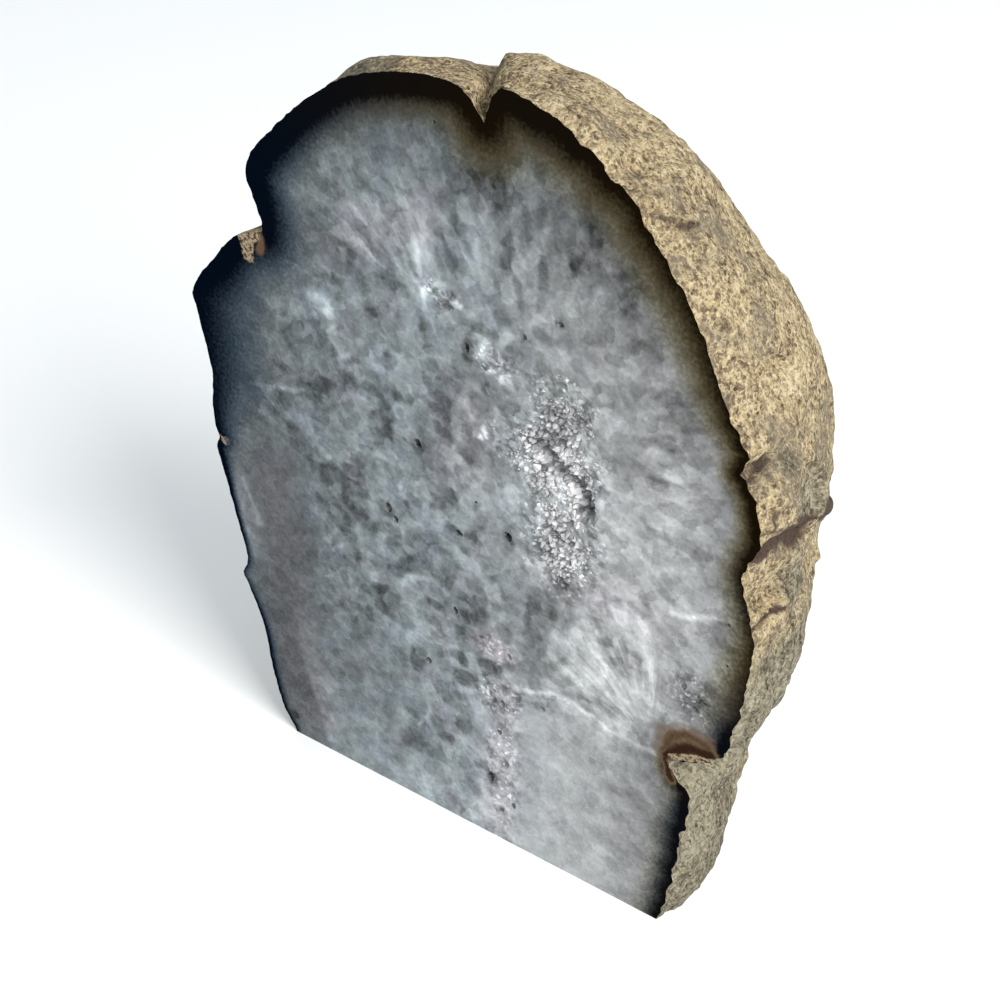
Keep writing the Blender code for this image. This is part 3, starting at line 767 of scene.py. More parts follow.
# Quartz grains with clearer edges: x, z, half width, half height, turn and change of tone
GRAINS = [
    (-5.1, 54.7, 1, 0.9, 0, -0.1), (-0.3, 45.2, 1.3, 0.7, -25, -0.11), (7.5, 46.7, 0.9, 1.2, 15, -0.11),
    (5.4, 30.3, 1.7, 1.3, 0, 0.07), (-14, 76.6, 1.3, 0.9, -20, -0.1), (-12.4, 73.4, 0.8, 1.4, 10, -0.1),
    (-7.5, 73.9, 2.2, 0.9, -10, -0.08), (-5.8, 77.5, 0.9, 1.5, 25, -0.06),
    (-8.2, 76.5, 0.8, 0.6, 0, -0.06), (-16.5, 79.5, 0.7, 1.2, 20, -0.05),
    (-12.8, 80.5, 0.5, 1.3, 25, -0.07), (-11.3, 79.3, 0.5, 1.5, 28, -0.08),
    (-15.5, 84.2, 0.5, 1.3, 30, -0.05), (-13.5, 86.5, 0.4, 1.1, 20, -0.05), (-18, 72, 1.4, 0.7, 0, -0.06),
    (-24.5, 63.2, 0.7, 0.6, 0, -0.06), (-25.8, 64.5, 0.5, 0.9, 0, -0.05), (-19, 57.5, 2.3, 1, 25, -0.1),
    (-21.5, 57.2, 1, 0.7, 0, -0.07), (-24.2, 57.8, 1, 0.6, 0, -0.06), (-16.8, 61.7, 0.5, 1.3, 10, -0.09),
    (-14.3, 62.4, 1.5, 0.5, 20, -0.1), (-9.6, 57.3, 1.3, 1.6, 0, -0.06), (-9.3, 54.8, 1, 0.8, 0, -0.05),
    (-2.3, 60.5, 1.6, 0.7, 15, -0.05), (-1, 58.2, 1.8, 1.2, 0, -0.05), (-18.5, 68.6, 2.1, 1.6, -35, 0.09),
    (-17.2, 66.8, 0.9, 1.4, 0, 0.08), (-6.3, 84.8, 0.9, 3.2, 20, 0.06), (-4, 81.3, 1, 4.2, 14, 0.03),
    (11.4, 88, 0.8, 1.6, 0, -0.06), (6.2, 88.6, 0.8, 2, -10, -0.05), (17.5, 87.6, 0.9, 1.4, 15, -0.08),
    (16.2, 83.7, 1.2, 1, 20, -0.07), (21.3, 84.6, 1.5, 0.9, 30, -0.08), (22.8, 87, 0.8, 1.6, 30, -0.06),
    (9.5, 84.3, 0.7, 1.6, 0, -0.05), (13.5, 85.3, 0.6, 1.2, 0, -0.05), (6.8, 78.3, 1.1, 1.3, 0, -0.08),
    (6.6, 75, 1, 1, 0, -0.07), (9.3, 73.5, 0.4, 0.8, 0, -0.12), (13.9, 76.4, 0.6, 0.5, 0, -0.12),
    (16.1, 72.5, 0.8, 1.1, 0, -0.07), (24.3, 76.7, 1.3, 1.1, 0, -0.06), (23.8, 72.3, 1.8, 1.2, 20, -0.06),
    (27.5, 70.4, 1.7, 1.6, 0, -0.05), (26.3, 62.5, 1.3, 0.8, -10, -0.07), (31.2, 66.8, 1.4, 1.5, 0, -0.05),
    (2, 69.5, 0.8, 1.6, -10, -0.2), (1.5, 64.8, 2.8, 1.5, 20, -0.05), (5.8, 65.8, 1.9, 1, 15, -0.09),
    (3.8, 62.8, 1.8, 1.4, 0, -0.07), (2.8, 57, 1.8, 2.5, 0, -0.07), (5.3, 56.8, 1, 1, 0, -0.04),
    (4.4, 70.9, 0.7, 1.4, -30, 0.14), (6.2, 67.8, 1.6, 0.7, -10, 0.12), (8.8, 68.3, 1.2, 0.8, 30, 0.1),
    (7.6, 71.6, 1.6, 0.9, 10, 0.05), (4.3, 59.8, 0.35, 0.8, 0, 0.35), (3.6, 59.2, 0.3, 0.4, 0, 0.3),
    (2.9, 81.5, 0.7, 3.5, 5, 0.06), (-1.5, 75.9, 1.4, 0.9, 20, 0.1), (-3.4, 74.3, 1, 1.1, 0, 0.12),
    (0.6, 74.3, 1, 0.4, 20, 0.3), (-15.2, 47.5, 1.7, 0.9, -8, -0.09), (-18.3, 46.3, 0.9, 0.5, 10, -0.07),
    (-21.3, 46.2, 1.3, 0.3, 5, -0.05), (-11.5, 49.1, 0.5, 0.7, 0, -0.07),
    (-16.7, 42.5, 0.9, 0.9, 0, -0.09), (-13.3, 40.6, 1.9, 1.1, -5, -0.08), (-20.6, 41, 0.8, 0.6, 0, -0.07),
    (-10, 43.9, 1.1, 1.2, 30, -0.1), (-8.9, 43.3, 0.8, 0.8, 0, -0.08), (-5.9, 46.9, 1.2, 0.6, -20, -0.11),
    (-7.8, 36.4, 1.1, 1.5, 0, -0.1), (-5.8, 34.3, 1, 0.8, 0, -0.07), (-15.4, 35.2, 1.5, 1, 10, -0.06),
    (-11.7, 35, 1.3, 0.8, 0, -0.05), (-12.9, 30.6, 1.6, 0.7, 15, -0.09), (-7.5, 30, 1.2, 0.8, 0, -0.06),
    (-18.4, 28.2, 0.9, 1.4, 30, -0.06), (-14.5, 28.6, 0.7, 0.7, 0, -0.08), (-12.4, 28, 0.4, 0.5, 0, -0.08),
    (-22.3, 31.2, 1.2, 0.9, 0, -0.05), (-17, 26, 1.2, 0.9, 0, -0.04), (-3.2, 32.9, 1.3, 0.6, 8, -0.13),
    (-2.5, 37.8, 1.6, 1.3, 0, -0.06), (-1.6, 41.3, 1, 0.7, 0, -0.06), (-6, 23.3, 1.3, 2.6, -12, -0.15),
    (-9.5, 17.5, 1.3, 1.4, 20, -0.04), (-7.2, 9.2, 2.4, 1.9, 20, -0.11), (-5.2, 11.8, 1, 1.6, -40, -0.09),
    (-1.9, 12.6, 1.5, 0.8, 15, -0.13), (-3.3, 14.7, 0.8, 0.8, 0, -0.08), (-10.8, 12.5, 1, 1.6, 0, -0.05),
    (-3.8, 6.6, 0.6, 1.2, 0, -0.06), (-10, 4.4, 1.3, 1.2, 0, -0.05), (-12, 7, 0.8, 1.4, 0, -0.04),
    (-1, 2.5, 1.3, 1, 0, -0.06), (-27.8, 2.8, 0.9, 0.9, 0, -0.15), (-10.3, 37.3, 1.7, 0.8, 5, 0.08),
    (-13.3, 33.2, 1.1, 1.4, 0, 0.07), (-20, 36.2, 1, 1.2, 0, 0.08), (-7.8, 48.1, 0.35, 0.8, 0, 0.15),
    (-9.2, 52.3, 1.3, 0.5, -35, 0.1), (-5, 48.5, 1.2, 2.2, 10, 0.05), (15.9, 43, 2.1, 1.9, 0, -0.1),
    (11.8, 38.5, 2.2, 4, -15, -0.09), (11.3, 34.5, 1.8, 3, 0, -0.08), (10.2, 29.8, 1.6, 1, 0, -0.06),
    (6.6, 37.6, 1.7, 2, 0, -0.05), (2.5, 34.2, 1.9, 1.3, 0, -0.06), (5, 27.4, 1.9, 1, 15, -0.16),
    (1.2, 23.6, 2, 1.5, 10, -0.19), (0.2, 26.3, 1.3, 1, 0, -0.08), (12.8, 24.7, 1.6, 0.7, 5, -0.1),
    (9.1, 17.5, 1.5, 1.6, 0, -0.05), (6.4, 21.9, 0.9, 1.2, 0, -0.16), (8.8, 24, 1, 1, 0, -0.14),
    (7, 13, 0.9, 1.2, 0, -0.16), (5, 9.6, 1, 1.2, 0, -0.22), (6.5, 4.8, 0.9, 0.8, 0, -0.15),
    (8.4, 4.6, 0.6, 0.6, 0, -0.14), (23.5, 17.6, 1.6, 0.8, 10, -0.07), (22.3, 36.8, 1.2, 2.6, 40, -0.1),
    (24.6, 37.8, 0.7, 2.6, 30, -0.06), (17.5, 36.3, 1.6, 0.8, -20, -0.06), (3, 42, 0.7, 1.8, 0, 0.07),
    (7.2, 41.6, 1.2, 1.7, 0, 0.07), (23, 43.5, 2, 1.8, -20, 0.06), (5.6, 30.2, 2.3, 1.8, 10, 0.1),
    (32.3, 36.4, 1.5, 1.4, 30, -0.13), (31.2, 38.8, 1.5, 0.5, 10, -0.1), (-8.5, 94.8, 0.5, 0.4, 0, -0.2),
    (-13, 92.5, 0.45, 0.4, 0, -0.15), (8.6, 96.1, 0.8, 0.3, -20, -0.3), (10.4, 95.5, 0.6, 0.3, -25, -0.3),
    (12.4, 94.6, 1, 0.35, -30, -0.3), (35, 29.8, 0.7, 0.6, 0, -0.3),
]

# Thin lines: points, half width and change of tone
VEINS = [
    ([(-36.2, 50.6), (-34, 51.4), (-32.5, 52.8), (-29, 53.8), (-25.5, 54.8), (-22, 55.6)], 0.3, 0.17),
    ([(-35.2, 53.6), (-34, 51.5)], 0.25, 0.13),
    ([(8.3, 25.4), (10, 26.4), (12, 26.9), (14.6, 27.6), (17, 27.2), (19.8, 26.8), (22.6, 26),
      (25.5, 25.9), (28.2, 25.8)], 0.3, 0.18),
    ([(-2, 20.6), (0, 21.3), (1.8, 21.5), (2.6, 23.6), (5, 25.5), (7, 25.8)], 0.38, 0.13),
    ([(29, 46.3), (31.3, 46.8)], 0.4, 0.22), ([(31.3, 46.8), (34, 48), (37, 48.9)], 0.2, 0.14),
    ([(24.4, 46.5), (26, 41), (26.6, 35.2), (27, 29)], 0.7, 0.09),
    ([(-25.5, 73.5), (-23.7, 72.4), (-21.5, 71.8)], 0.25, 0.14),
    ([(-15, 79.6), (-13.3, 78.9), (-11.8, 77.4), (-10.6, 76.3), (-9, 75.8)], 0.38, 0.16),
    ([(-6.2, 78), (-4.9, 76), (-4, 74.2), (-3.3, 72.6)], 0.32, 0.14),
    ([(-4.5, 80.5), (-4, 77), (-3.8, 74.5)], 0.4, 0.13),
    ([(-7.4, 20.2), (-7.8, 23), (-7, 25.8)], 0.38, 0.08),
    ([(-9.5, 13.2), (-6.5, 12.4), (-4.2, 14.6), (-4.5, 17.5)], 0.35, 0.06),
    ([(-33.3, 39), (-32.2, 36), (-31, 33)], 0.45, 0.11),
    ([(-34.8, 37.5), (-33.2, 32), (-32.3, 27.5)], 0.8, 0.07),
    ([(3.5, 71.6), (4, 69.6), (5.6, 67.9), (7.6, 67.2)], 0.4, 0.12),
    ([(12.2, 36.2), (12.8, 34), (14.5, 32.4), (18, 30.6)], 0.35, 0.08),
    ([(22.6, 46.8), (25, 45.4), (28, 45)], 0.5, 0.08),
]

# Places with sugary crystals in the polish: x, z, half width, half height, turn and amount
SUGAR = [
    (14.5, 67.5, 4.5, 3.5, 0, 1), (13.5, 60, 7, 6.5, 0, 1), (14.5, 50, 6, 8, 0, 1),
    (8, 60, 3.5, 3.5, 0, 0.9), (5.5, 30.2, 2.6, 2.2, 0, 0.8), (6, 23, 3.6, 3.4, 0, 0.8),
    (6.8, 12, 2.6, 10, 0, 0.7), (-1.5, 75, 2.8, 1.5, -15, 0.9), (5.5, 69, 3.4, 2, 0, 0.7),
    (32, 36.5, 2.4, 4.4, 25, 0.8), (12.5, 26.8, 4, 0.9, 5, 0.5),
]

# Lines of brown stain, of tan matrix and of lilac quartz: points, half width and amount
STAIN = [
    ([(28, 27.4), (28.8, 29.9), (30.5, 31.3), (33, 31.7), (34.3, 31.4)], 1, 0.4),
    ([(28.8, 27.2), (29.8, 29.3), (31.4, 30.3), (33.2, 30.7), (34.8, 30.2)], 0.95, 0.72),
    ([(29.4, 26.6), (30.6, 28.1), (32, 28.8), (33.7, 29.2), (35.2, 29.3)], 1, 1),
    ([(29.3, 26.4), (29.5, 24.8), (30.1, 23.2)], 0.55, 0.95),
    ([(-27.3, 74.2), (-26.9, 73.2), (-27.1, 72.4)], 0.7, 0.62),
]
MATRIX = [
    ([(30.2, 26.8), (31.8, 27.6), (33.6, 28.1), (35.3, 28.6)], 0.5, 1),
    ([(-29.6, 73.2), (-28.6, 73.5), (-27.9, 73.9)], 0.85, 1), ([(-29, 72.6), (-28.8, 71.2)], 0.95, 1),
    ([(-35.9, 43.9), (-35.4, 43)], 0.4, 0.7),
]
LILAC = [
    ([(4.2, 30.6), (7, 30)], 2, 1), ([(7, 24), (6, 2)], 3.2, 0.6), ([(-14, 77), (-4, 83)], 3, 0.5),
    ([(1, 54), (3, 62)], 3.5, 0.6), ([(15, 43), (24, 45)], 3, 0.5), ([(-28, 40), (-25, 4)], 4, 0.6),
]

# The darker strip down the left, a painted reflection of something dark in the polish: its right edge, how
# much darker it is, and its soft edges
STRIP_EDGE = [(-20.4, -1.0), (-23.0, 7.0), (-25.2, 15.5), (-25.4, 40.0)]
STRIP_TONE = 0.085
STRIP_FADE = 0.8
STRIP_HEIGHTS = (26.0, 12.0)

# Fibres that fan out from a point: centre, then the place where they show and its half sizes
FANS = [
    ((-0.8, 72.5), (-11, 82), (11, 9), 0.5), ((9, 55), (10, 87), (16, 8), 0.5),
    ((11, 55), (29, 62), (6, 16), 0.4), ((27.3, 27), (21, 36), (9, 9.5), 0.8),
]
FAN_RADIUS = 15.0
FACE_WARP = [(2.6, 0.55), (1.0, 0.28)]

# Cells of the quartz, round in the middle and long towards the hollow near the rim: size and
# change of tone
ROUND_CELLS = [(3.9, 0.05), (2.1, 0.055), (1.2, 0.045)]
LONG_CELLS = [(3.4, 0.04), (1.9, 0.06), (1.05, 0.04)]
LONG_CENTRE = (8.0, 62.0)
LONG_STRETCH = 2.3
LONG_REFERENCE = 24.0
CELL_EDGE = 0.025
CELL_TABLE = 128
CELL_TONES = ([0.0, 0.1, 0.17, 0.4, 0.8, 0.87, 1.0], [-1.5, -1.3, -0.5, -0.1, 0.3, 1.0, 1.1])
SEAM_WIDTH = 0.16
SEAM_TONE = 0.045
# Where the quartz shows few cells: by how much, and where that sets in across and up
CALM = [(0.8, (-16.0, -26.0), (52.0, 44.0)), (0.45, (-4.0, -9.0), (28.0, 20.0)),
        (0.6, (8.0, 11.0), (28.0, 22.0))]
CALM_RIM = 0.55

# The quartz is duller near the rim: by how much, and how far in at the sides and more at the top
DULL = 0.19
DULL_REACH = (5.5, 4.5)
DULL_TOP = (66.0, 84.0)
DULL_START = (-22.0, -8.0)

# The druse's bed: its depth below the face, and mounds and dips of it: x, z, reach and change
BED_EDGE = 0.03
BED_SINK = 0.75
BED_ROUGH = [(3.4, 0.35), (1.3, 0.3)]
BED_MOUNDS = [
    (13.6, 55.2, 3, -0.75), (8.4, 60.2, 2.2, -0.45), (13, 66.5, 2.6, -0.3), (16.6, 61.5, 2, -0.4),
    (15, 46.5, 3, -0.3), (17.8, 51, 1.8, -0.4), (12.4, 50.4, 2.2, 0.4), (17.2, 54.6, 0.9, 1.3),
    (11.2, 62.6, 1, 0.6), (13.6, 62, 0.8, 1.8), (17.8, 57, 0.8, 1.2), (19, 62, 1.6, -0.9),
    (19.6, 52, 2, -0.8), (19.2, 57, 1.4, -0.8), (18.5, 46.5, 2.5, -0.6),
]
RAVINE = [(10.4, 60.6), (12.2, 60), (13.4, 58.8), (15, 58), (17.2, 57.2), (17.4, 54.2)]
RAVINE_WIDTH = 0.75
RAVINE_SINK = 1.5
BED_GRID = 0.45
BED_SCALE = 0.998
BED_SHALLOW = 0.03
BED_DEEP = 2.9
# The bed's underside: scale of each ring of it, and its depth
BED_WALLS = ((0.955, 0.85), (0.81, HOLLOW_DEPTH - 0.06))

# Where crystals stand on the bed: x, z, half width, half height, turn and how many
CRYSTAL_ZONES = [
    (8.4, 60.2, 2.8, 3.2, 0, 1), (13.6, 55.2, 4.2, 3.4, 0, 1), (13.4, 61.4, 4.4, 3, 0, 1),
    (14.2, 66.6, 3.6, 2.2, 0, 0.9), (14.6, 47.6, 3.8, 3.4, 0, 0.75), (16.8, 57.4, 2.4, 3.4, 0, 1),
    (12.2, 51, 1.6, 1.6, 0, 0.5), (17.6, 52, 1.6, 1.2, 0, 0.5),
]
SCATTERED_SHARE = 0.1
# Where crystals of the druse are brighter or darker: x, z, reach and change of tone
DRUSE_TONES = [
    (13.4, 55.2, 3.2, 0.12), (8.6, 60.3, 2.6, 0.12), (14.2, 67.5, 3, 0.02), (14, 48, 4.5, 0.04),
    (16.5, 44.5, 2.5, 0.04), (17, 61.5, 2.4, 0.05),
]
CRYSTAL_GRID = 0.44
CRYSTAL_JITTER = 0.2
CRYSTAL_RADIUS = (0.16, 0.42)
CRYSTAL_LENGTH = (1.3, 2.3)
CRYSTAL_ROOT = 0.25
BIG_CRYSTAL_SHARE = 0.1
BIG_CRYSTAL_SCALE = 1.7
BIG_CRYSTAL_ROOM = 1.0
CLEAR_SHARE = 0.16
LEAST_LEAN = 8.0
CRYSTAL_LEAN = 46.0
EDGE_LEAN = 25.0
LEAN_ROOM = 0.8
TIP_CLEARANCE = 0.02
EDGE_CLEARANCE = 0.25
BED_SLOT, MILKY_SLOT, CLEAR_SLOT = range(3)

# How the looks turn a tone into light, and quartz's own refraction
TONE_POWER = 2.2
FACE_GAIN = 0.8
CLEAR_GAIN = 1.35
QUARTZ_IOR = 1.54
WHITE = (1.0, 1.0, 1.0)


def elliptic(spots, x, z, half_width, half_height, turn):
    """Give the distance of places from an ellipse's middle, 1 on its edge."""
    angle = math.radians(turn)
    dx, dz = spots[:, 0] - x, spots[:, 1] - z
    along = dx * math.cos(angle) + dz * math.sin(angle)
    across = dz * math.cos(angle) - dx * math.sin(angle)
    return np.hypot(along / half_width, across / half_height)


def mounds(spots, table):
    """Add up round soft mounds, given by x, z, reach and height."""
    return sum(rise * bell(np.hypot(spots[:, 0] - x, spots[:, 1] - z) / reach)
               for x, z, reach, rise in table)


def warped(spots):
    """Shift places by noise, so that painted shapes get natural edges."""
    places = in_space(spots)
    return spots + np.column_stack([rough_noise(places, FACE_WARP, s) for s in (120.0, 170.0)])


def band_values(spots, rim):
    """Give how far into the band's fade each place lies, how brown it is and its gap to the rim."""
    visible = rim[rim[:, 1] > 0.2]
    index = np.array([np.argmin(np.hypot(*(visible - row[:2]).T)) for row in BAND])
    order = np.argsort(index)
    steps = np.arange(len(visible))
    stations = np.column_stack(
        [np.interp(steps, index[order], column) for column in np.array(BAND)[order, 2:].T])
    gap = np.empty(len(spots))
    values = np.empty((len(spots), 3))
    for start in range(0, len(spots), BAND_BATCH):
        batch = slice(start, start + BAND_BATCH)
        apart = np.hypot(spots[batch, None, 0] - visible[None, :, 0],
                         spots[batch, None, 1] - visible[None, :, 1])
        gap[batch] = apart.min(axis=1)
        weight = np.exp(-(apart - gap[batch, None]) / BAND_BLEND)
        values[batch] = weight @ stations / weight.sum(axis=1, keepdims=True)
    return (gap - values[:, 0]) / values[:, 1], values[:, 2], gap


def calm_amount(spots):
    """Tell where the quartz shows few cells: at the left, along the rim and low on the face."""
    x, z = spots.T
    rim_reach = np.hypot((x - 4.0) / 34.0, (z - 56.0) / 42.0)
    amounts = [CALM_RIM * soft_step(0.72, 0.95, rim_reach) * soft_step(45.0, 60.0, z)]
    amounts += [most * soft_step(*across, x) * soft_step(*up, z) for most, across, up in CALM]
    return np.max(amounts, axis=0)


def cell_values(u, v, size, seed):
    """Give each place the tone of its cell, and how near it is to the seam of two cells."""
    table = np.random.default_rng(seed).random((3, CELL_TABLE, CELL_TABLE))
    column, row = np.floor(u / size).astype(int), np.floor(v / size).astype(int)
    apart, values = [], []
    for right in (-1, 0, 1):
        for up in (-1, 0, 1):
            i, j = (column + right) % CELL_TABLE, (row + up) % CELL_TABLE
            across = column + right + 0.1 + 0.8 * table[0, i, j] - u / size
            along = row + up + 0.1 + 0.8 * table[1, i, j] - v / size
            apart.append(np.hypot(across, along))
            values.append(table[2, i, j])
    apart, values = np.array(apart), np.array(values)
    weight = np.exp((apart.min(axis=0) - apart) / CELL_EDGE)
    nearest = np.sort(apart, axis=0)
    seam = bell((nearest[1] - nearest[0]) / SEAM_WIDTH)
    return np.interp((weight * values).sum(axis=0) / weight.sum(axis=0), *CELL_TONES), seam


def cell_tone(spots):
    """Give the change of tone of the quartz cells and their seams."""
    x, z = spots.T
    dx, dz = x - LONG_CENTRE[0], z - LONG_CENTRE[1]
    long_places = (np.hypot(dx, dz) / LONG_STRETCH, np.arctan2(dx, dz) * LONG_REFERENCE)
    tones = []
    for place, layers, seed in (((x, z), ROUND_CELLS, 0), (long_places, LONG_CELLS, 10)):
        tone = np.zeros(len(spots))
        for number, (size, amount) in enumerate(layers):
            cell, seam = cell_values(*place, size, seed + number)
            tone += amount * cell + (SEAM_TONE * seam if number == 1 else 0.0)
        tones.append(tone)
    share = np.maximum(
        soft_step(72.0, 80.0, z), soft_step(20.0, 27.0, x) * soft_step(26.0, 34.0, z))
    return tones[0] * (1.0 - share) + tones[1] * share


def paint_tone(spots):
    """Add up the clouds, grains, plates and veins of the face."""
    moved = warped(spots)
    tone = np.interp(spots[:, 0], *zip(*BASE_TONE))
    tone += LOW_TONE[0] * soft_step(*LOW_TONE[1:], spots[:, 1])
    for *shape, change in CLOUDS:
        tone += change * bell(elliptic(moved, *shape))
    for *shape, change in GRAINS:
        tone += change * (1.0 - soft_step(0.8, 1.15, elliptic(moved, *shape)))
    for corners, change, edge in PLATES:
        depth = outline_distance(moved, corners)
        depth *= np.where(inside_polygon(moved, corners), 1.0, -1.0)
        tone += change * soft_step(-0.2, 0.2, depth) + edge * bell(depth / PLATE_EDGE)
    for corners, half_width, change in VEINS:
        tone += change * bell(path_distance(moved, corners) / half_width)
    tone += (1.0 - calm_amount(spots)) * cell_tone(moved)
    # The darker strip at the lower left: a painted reflection of something dark in the polish
    edge_x, edge_z = zip(*STRIP_EDGE)
    left = spots[:, 0] < np.interp(spots[:, 1], edge_z, edge_x)
    strip = left * soft_step(0.0, STRIP_FADE, path_distance(moved, STRIP_EDGE))
    return tone - STRIP_TONE * strip * soft_step(*STRIP_HEIGHTS, spots[:, 1])


def shape_amount(moved, shapes):
    """Give how much of some painted shapes there is at each place."""
    amounts = [most * (1.0 - soft_step(0.6, 1.25, elliptic(moved, *shape)))
               for *shape, most in shapes]
    return np.max(amounts, axis=0)


def line_amount(moved, lines):
    """Give how much of some soft painted lines there is at each place."""
    amounts = [most * bell(path_distance(moved, corners) / half_width, 2.5)
               for corners, half_width, most in lines]
    return np.max(amounts, axis=0)


def fan_values(spots):
    """Give the turn and distance from the fan that each place belongs to, and its strength."""
    best = np.zeros(len(spots))
    other = np.zeros(len(spots))
    values = np.zeros((len(spots), 3))
    for centre, place, half_size, amount in FANS:
        dx, dz = spots[:, 0] - centre[0], spots[:, 1] - centre[1]
        strength = amount * (1.0 - soft_step(0.55, 1.2, elliptic(spots, *place, *half_size, 0)))
        wins = strength > best
        other = np.where(wins, best, np.maximum(other, strength))
        best = np.where(wins, strength, best)
        found = np.column_stack([np.arctan2(dx, dz) * FAN_RADIUS, np.hypot(dx, dz), strength])
        values[wins] = found[wins]
    values[:, 2] = np.maximum(0.0, best - other)
    return values


def paint_face(mesh, rim):
    """Store the face's painting at the mesh's points, before it moves to the part's frame."""
    spots = point_values(mesh, "co")
    front = spots[:, 1] < 4.0
    flat = spots[front][:, [0, 2]]
    moved = warped(flat)
    fade, brown, gap = band_values(flat, rim)
    dull_reach = DULL_REACH[0] + DULL_REACH[1] * soft_step(*DULL_TOP, flat[:, 1])
    dull = DULL * soft_step(*DULL_START, flat[:, 0]) * bell(gap / dull_reach)
    # Name, value behind the face, and up to three values on it
    layers = [
        ("band", 9.0, [fade, brown]),
        ("tone", 0.5, [paint_tone(flat) - dull, shape_amount(moved, SUGAR), calm_amount(flat)]),
        ("fan", 0.0, fan_values(flat).T),
        ("stain", 0.0, [line_amount(moved, lines) for lines in (STAIN, MATRIX, LILAC)]),
    ]
    for name, rest, columns in layers:
        values = np.full((len(spots), 3), rest)
        values[front, :len(columns)] = np.column_stack(columns)
        set_vectors(mesh, name, values)


def grid_spots(ring, spacing, shift=0.0):
    """Lay a grid over a ring's box, with every second row shifted."""
    low, high = ring.min(axis=0), ring.max(axis=0)
    xs, zs = np.meshgrid(np.arange(low[0], high[0], spacing), np.arange(low[1], high[1], spacing))
    xs[1::2] += shift
    return np.column_stack([xs.ravel(), zs.ravel()])


def bed_depth(spots, edge_gap):
    """Give the depth of the druse's bed below the polished face."""
    depth = BED_EDGE + BED_SINK * soft_step(0.0, 2.4, edge_gap)
    depth += soft_step(0.0, 1.2, edge_gap) * rough_noise(in_space(spots), BED_ROUGH, 60.0)
    depth += mounds(spots, BED_MOUNDS)
    depth += RAVINE_SINK * bell(path_distance(spots, RAVINE) / RAVINE_WIDTH)
    deepest = BED_SHALLOW + (BED_DEEP - BED_SHALLOW) * soft_step(0.0, 1.6, edge_gap)
    return np.clip(depth, BED_SHALLOW, deepest)


def druse_bed(hollow):
    """Build the bed: a bumpy top, and walls and a floor close to the hollow's own."""
    top_ring = scaled_ring(hollow, BED_SCALE)
    count = len(top_ring)
    grid = well_inside(grid_spots(top_ring, BED_GRID, BED_GRID / 2), top_ring, BED_GRID * 0.4)
    flat, triangles, _ = triangulate([*top_ring, *grid], loop_edges(0, count), top_ring, 1)
    depth = bed_depth(flat, outline_distance(flat, top_ring))
    depth[:count] = BED_EDGE
    points = in_space(flat, depth)
    faces = [tuple(t) for t in triangles.tolist()]
    before = 0
    for scale, sink in BED_WALLS:
        faces += ring_quads(before, len(points), count)
        before = len(points)
        points = np.vstack([points, in_space(scaled_ring(hollow, scale), sink)])
    faces.append(tuple(range(before, before + count)))
    return points, faces, top_ring


def crystal_shape(radius, length, chance):
    """Make one six-sided crystal that points up, with its foot at 0: points and faces."""
    tip_start = length - radius * chance.uniform(0.9, 1.5)
    turn = chance.uniform(0, math.tau)
    points = []
    for height, scale in ((0.0, 1.0), (max(tip_start, 0.1), chance.uniform(0.86, 1.0))):
        for i in range(6):
            angle = turn + math.tau * i / 6
            points.append(
                (radius * scale * math.cos(angle), radius * scale * math.sin(angle), height))
    aside = [radius * chance.uniform(-0.3, 0.3) for _ in range(2)]
    points.append((*aside, length))
    faces = [tuple(range(5, -1, -1))]
    for i, after in loop_edges(0, 6):
        faces += [(i, after, 6 + after, 6 + i), (6 + i, 6 + after, 12)]
    return points, faces


def build_druse(hollow):
    """Build the crystals that line the hollow, on their bed, as one mesh."""
    chance = random.Random(5)
    bed, faces, ring = druse_bed(hollow)
    points = [tuple(p) for p in bed]
    milk_and_depth_shade = [0.0] * len(points)
    slots = [BED_SLOT] * len(faces)
    spots = grid_spots(ring, CRYSTAL_GRID)
    spots += [[chance.uniform(-CRYSTAL_JITTER, CRYSTAL_JITTER) for _ in range(2)] for _ in spots]
    spots = well_inside(spots, ring, EDGE_CLEARANCE)
    gap = outline_distance(spots, ring)
    depths = bed_depth(spots, gap)
    tones = paint_tone(spots) + mounds(spots, DRUSE_TONES)
    wanted = np.maximum(SCATTERED_SHARE, shape_amount(spots, CRYSTAL_ZONES))
    for (x, z), deep, room, tone, share in zip(spots, depths, gap, tones, wanted):
        if chance.random() > share:
            continue
        radius = chance.uniform(*CRYSTAL_RADIUS)
        if chance.random() < BIG_CRYSTAL_SHARE and room > BIG_CRYSTAL_ROOM:
            radius *= BIG_CRYSTAL_SCALE
        radius = min(radius, room * 0.8)
        most_lean = CRYSTAL_LEAN if room > LEAN_ROOM else EDGE_LEAN
        lean = math.radians(chance.uniform(LEAST_LEAN, most_lean))
        around = chance.uniform(0, math.tau)
        axis = Vector((math.sin(lean) * math.cos(around), -math.cos(lean),
                       math.sin(lean) * math.sin(around)))
        length = radius * chance.uniform(*CRYSTAL_LENGTH) + CRYSTAL_ROOT
        foot = Vector((x, deep + CRYSTAL_ROOT, z))
        foot.y += max(0.0, TIP_CLEARANCE - (foot + axis * length).y)
        turn = Vector((0, 0, 1)).rotation_difference(axis).to_matrix()
        shape, sides = crystal_shape(radius, length, chance)
        start = len(points)
        for corner in shape:
            spot = foot + turn @ Vector(corner)
            points.append((spot.x, max(spot.y, TIP_CLEARANCE / 2), spot.z))
        faces += [tuple(start + i for i in side) for side in sides]
        slots += [CLEAR_SLOT if chance.random() < CLEAR_SHARE else MILKY_SLOT] * len(sides)
        # A crystal's tone: the painted tone, a random share, and painted shade on crystals deeper in the
        # hollow
        shade = tone + chance.uniform(0.0, 0.15) - 0.2 * max(0.0, min(1.0, deep - 1.1))
        milk_and_depth_shade += [shade] * len(shape)
    mesh = quick_mesh("druse", points, faces)
    mesh.polygons.foreach_set("material_index", slots)
    set_vectors(mesh, "milk_and_depth_shade", np.column_stack([milk_and_depth_shade] * 3))
    return mesh


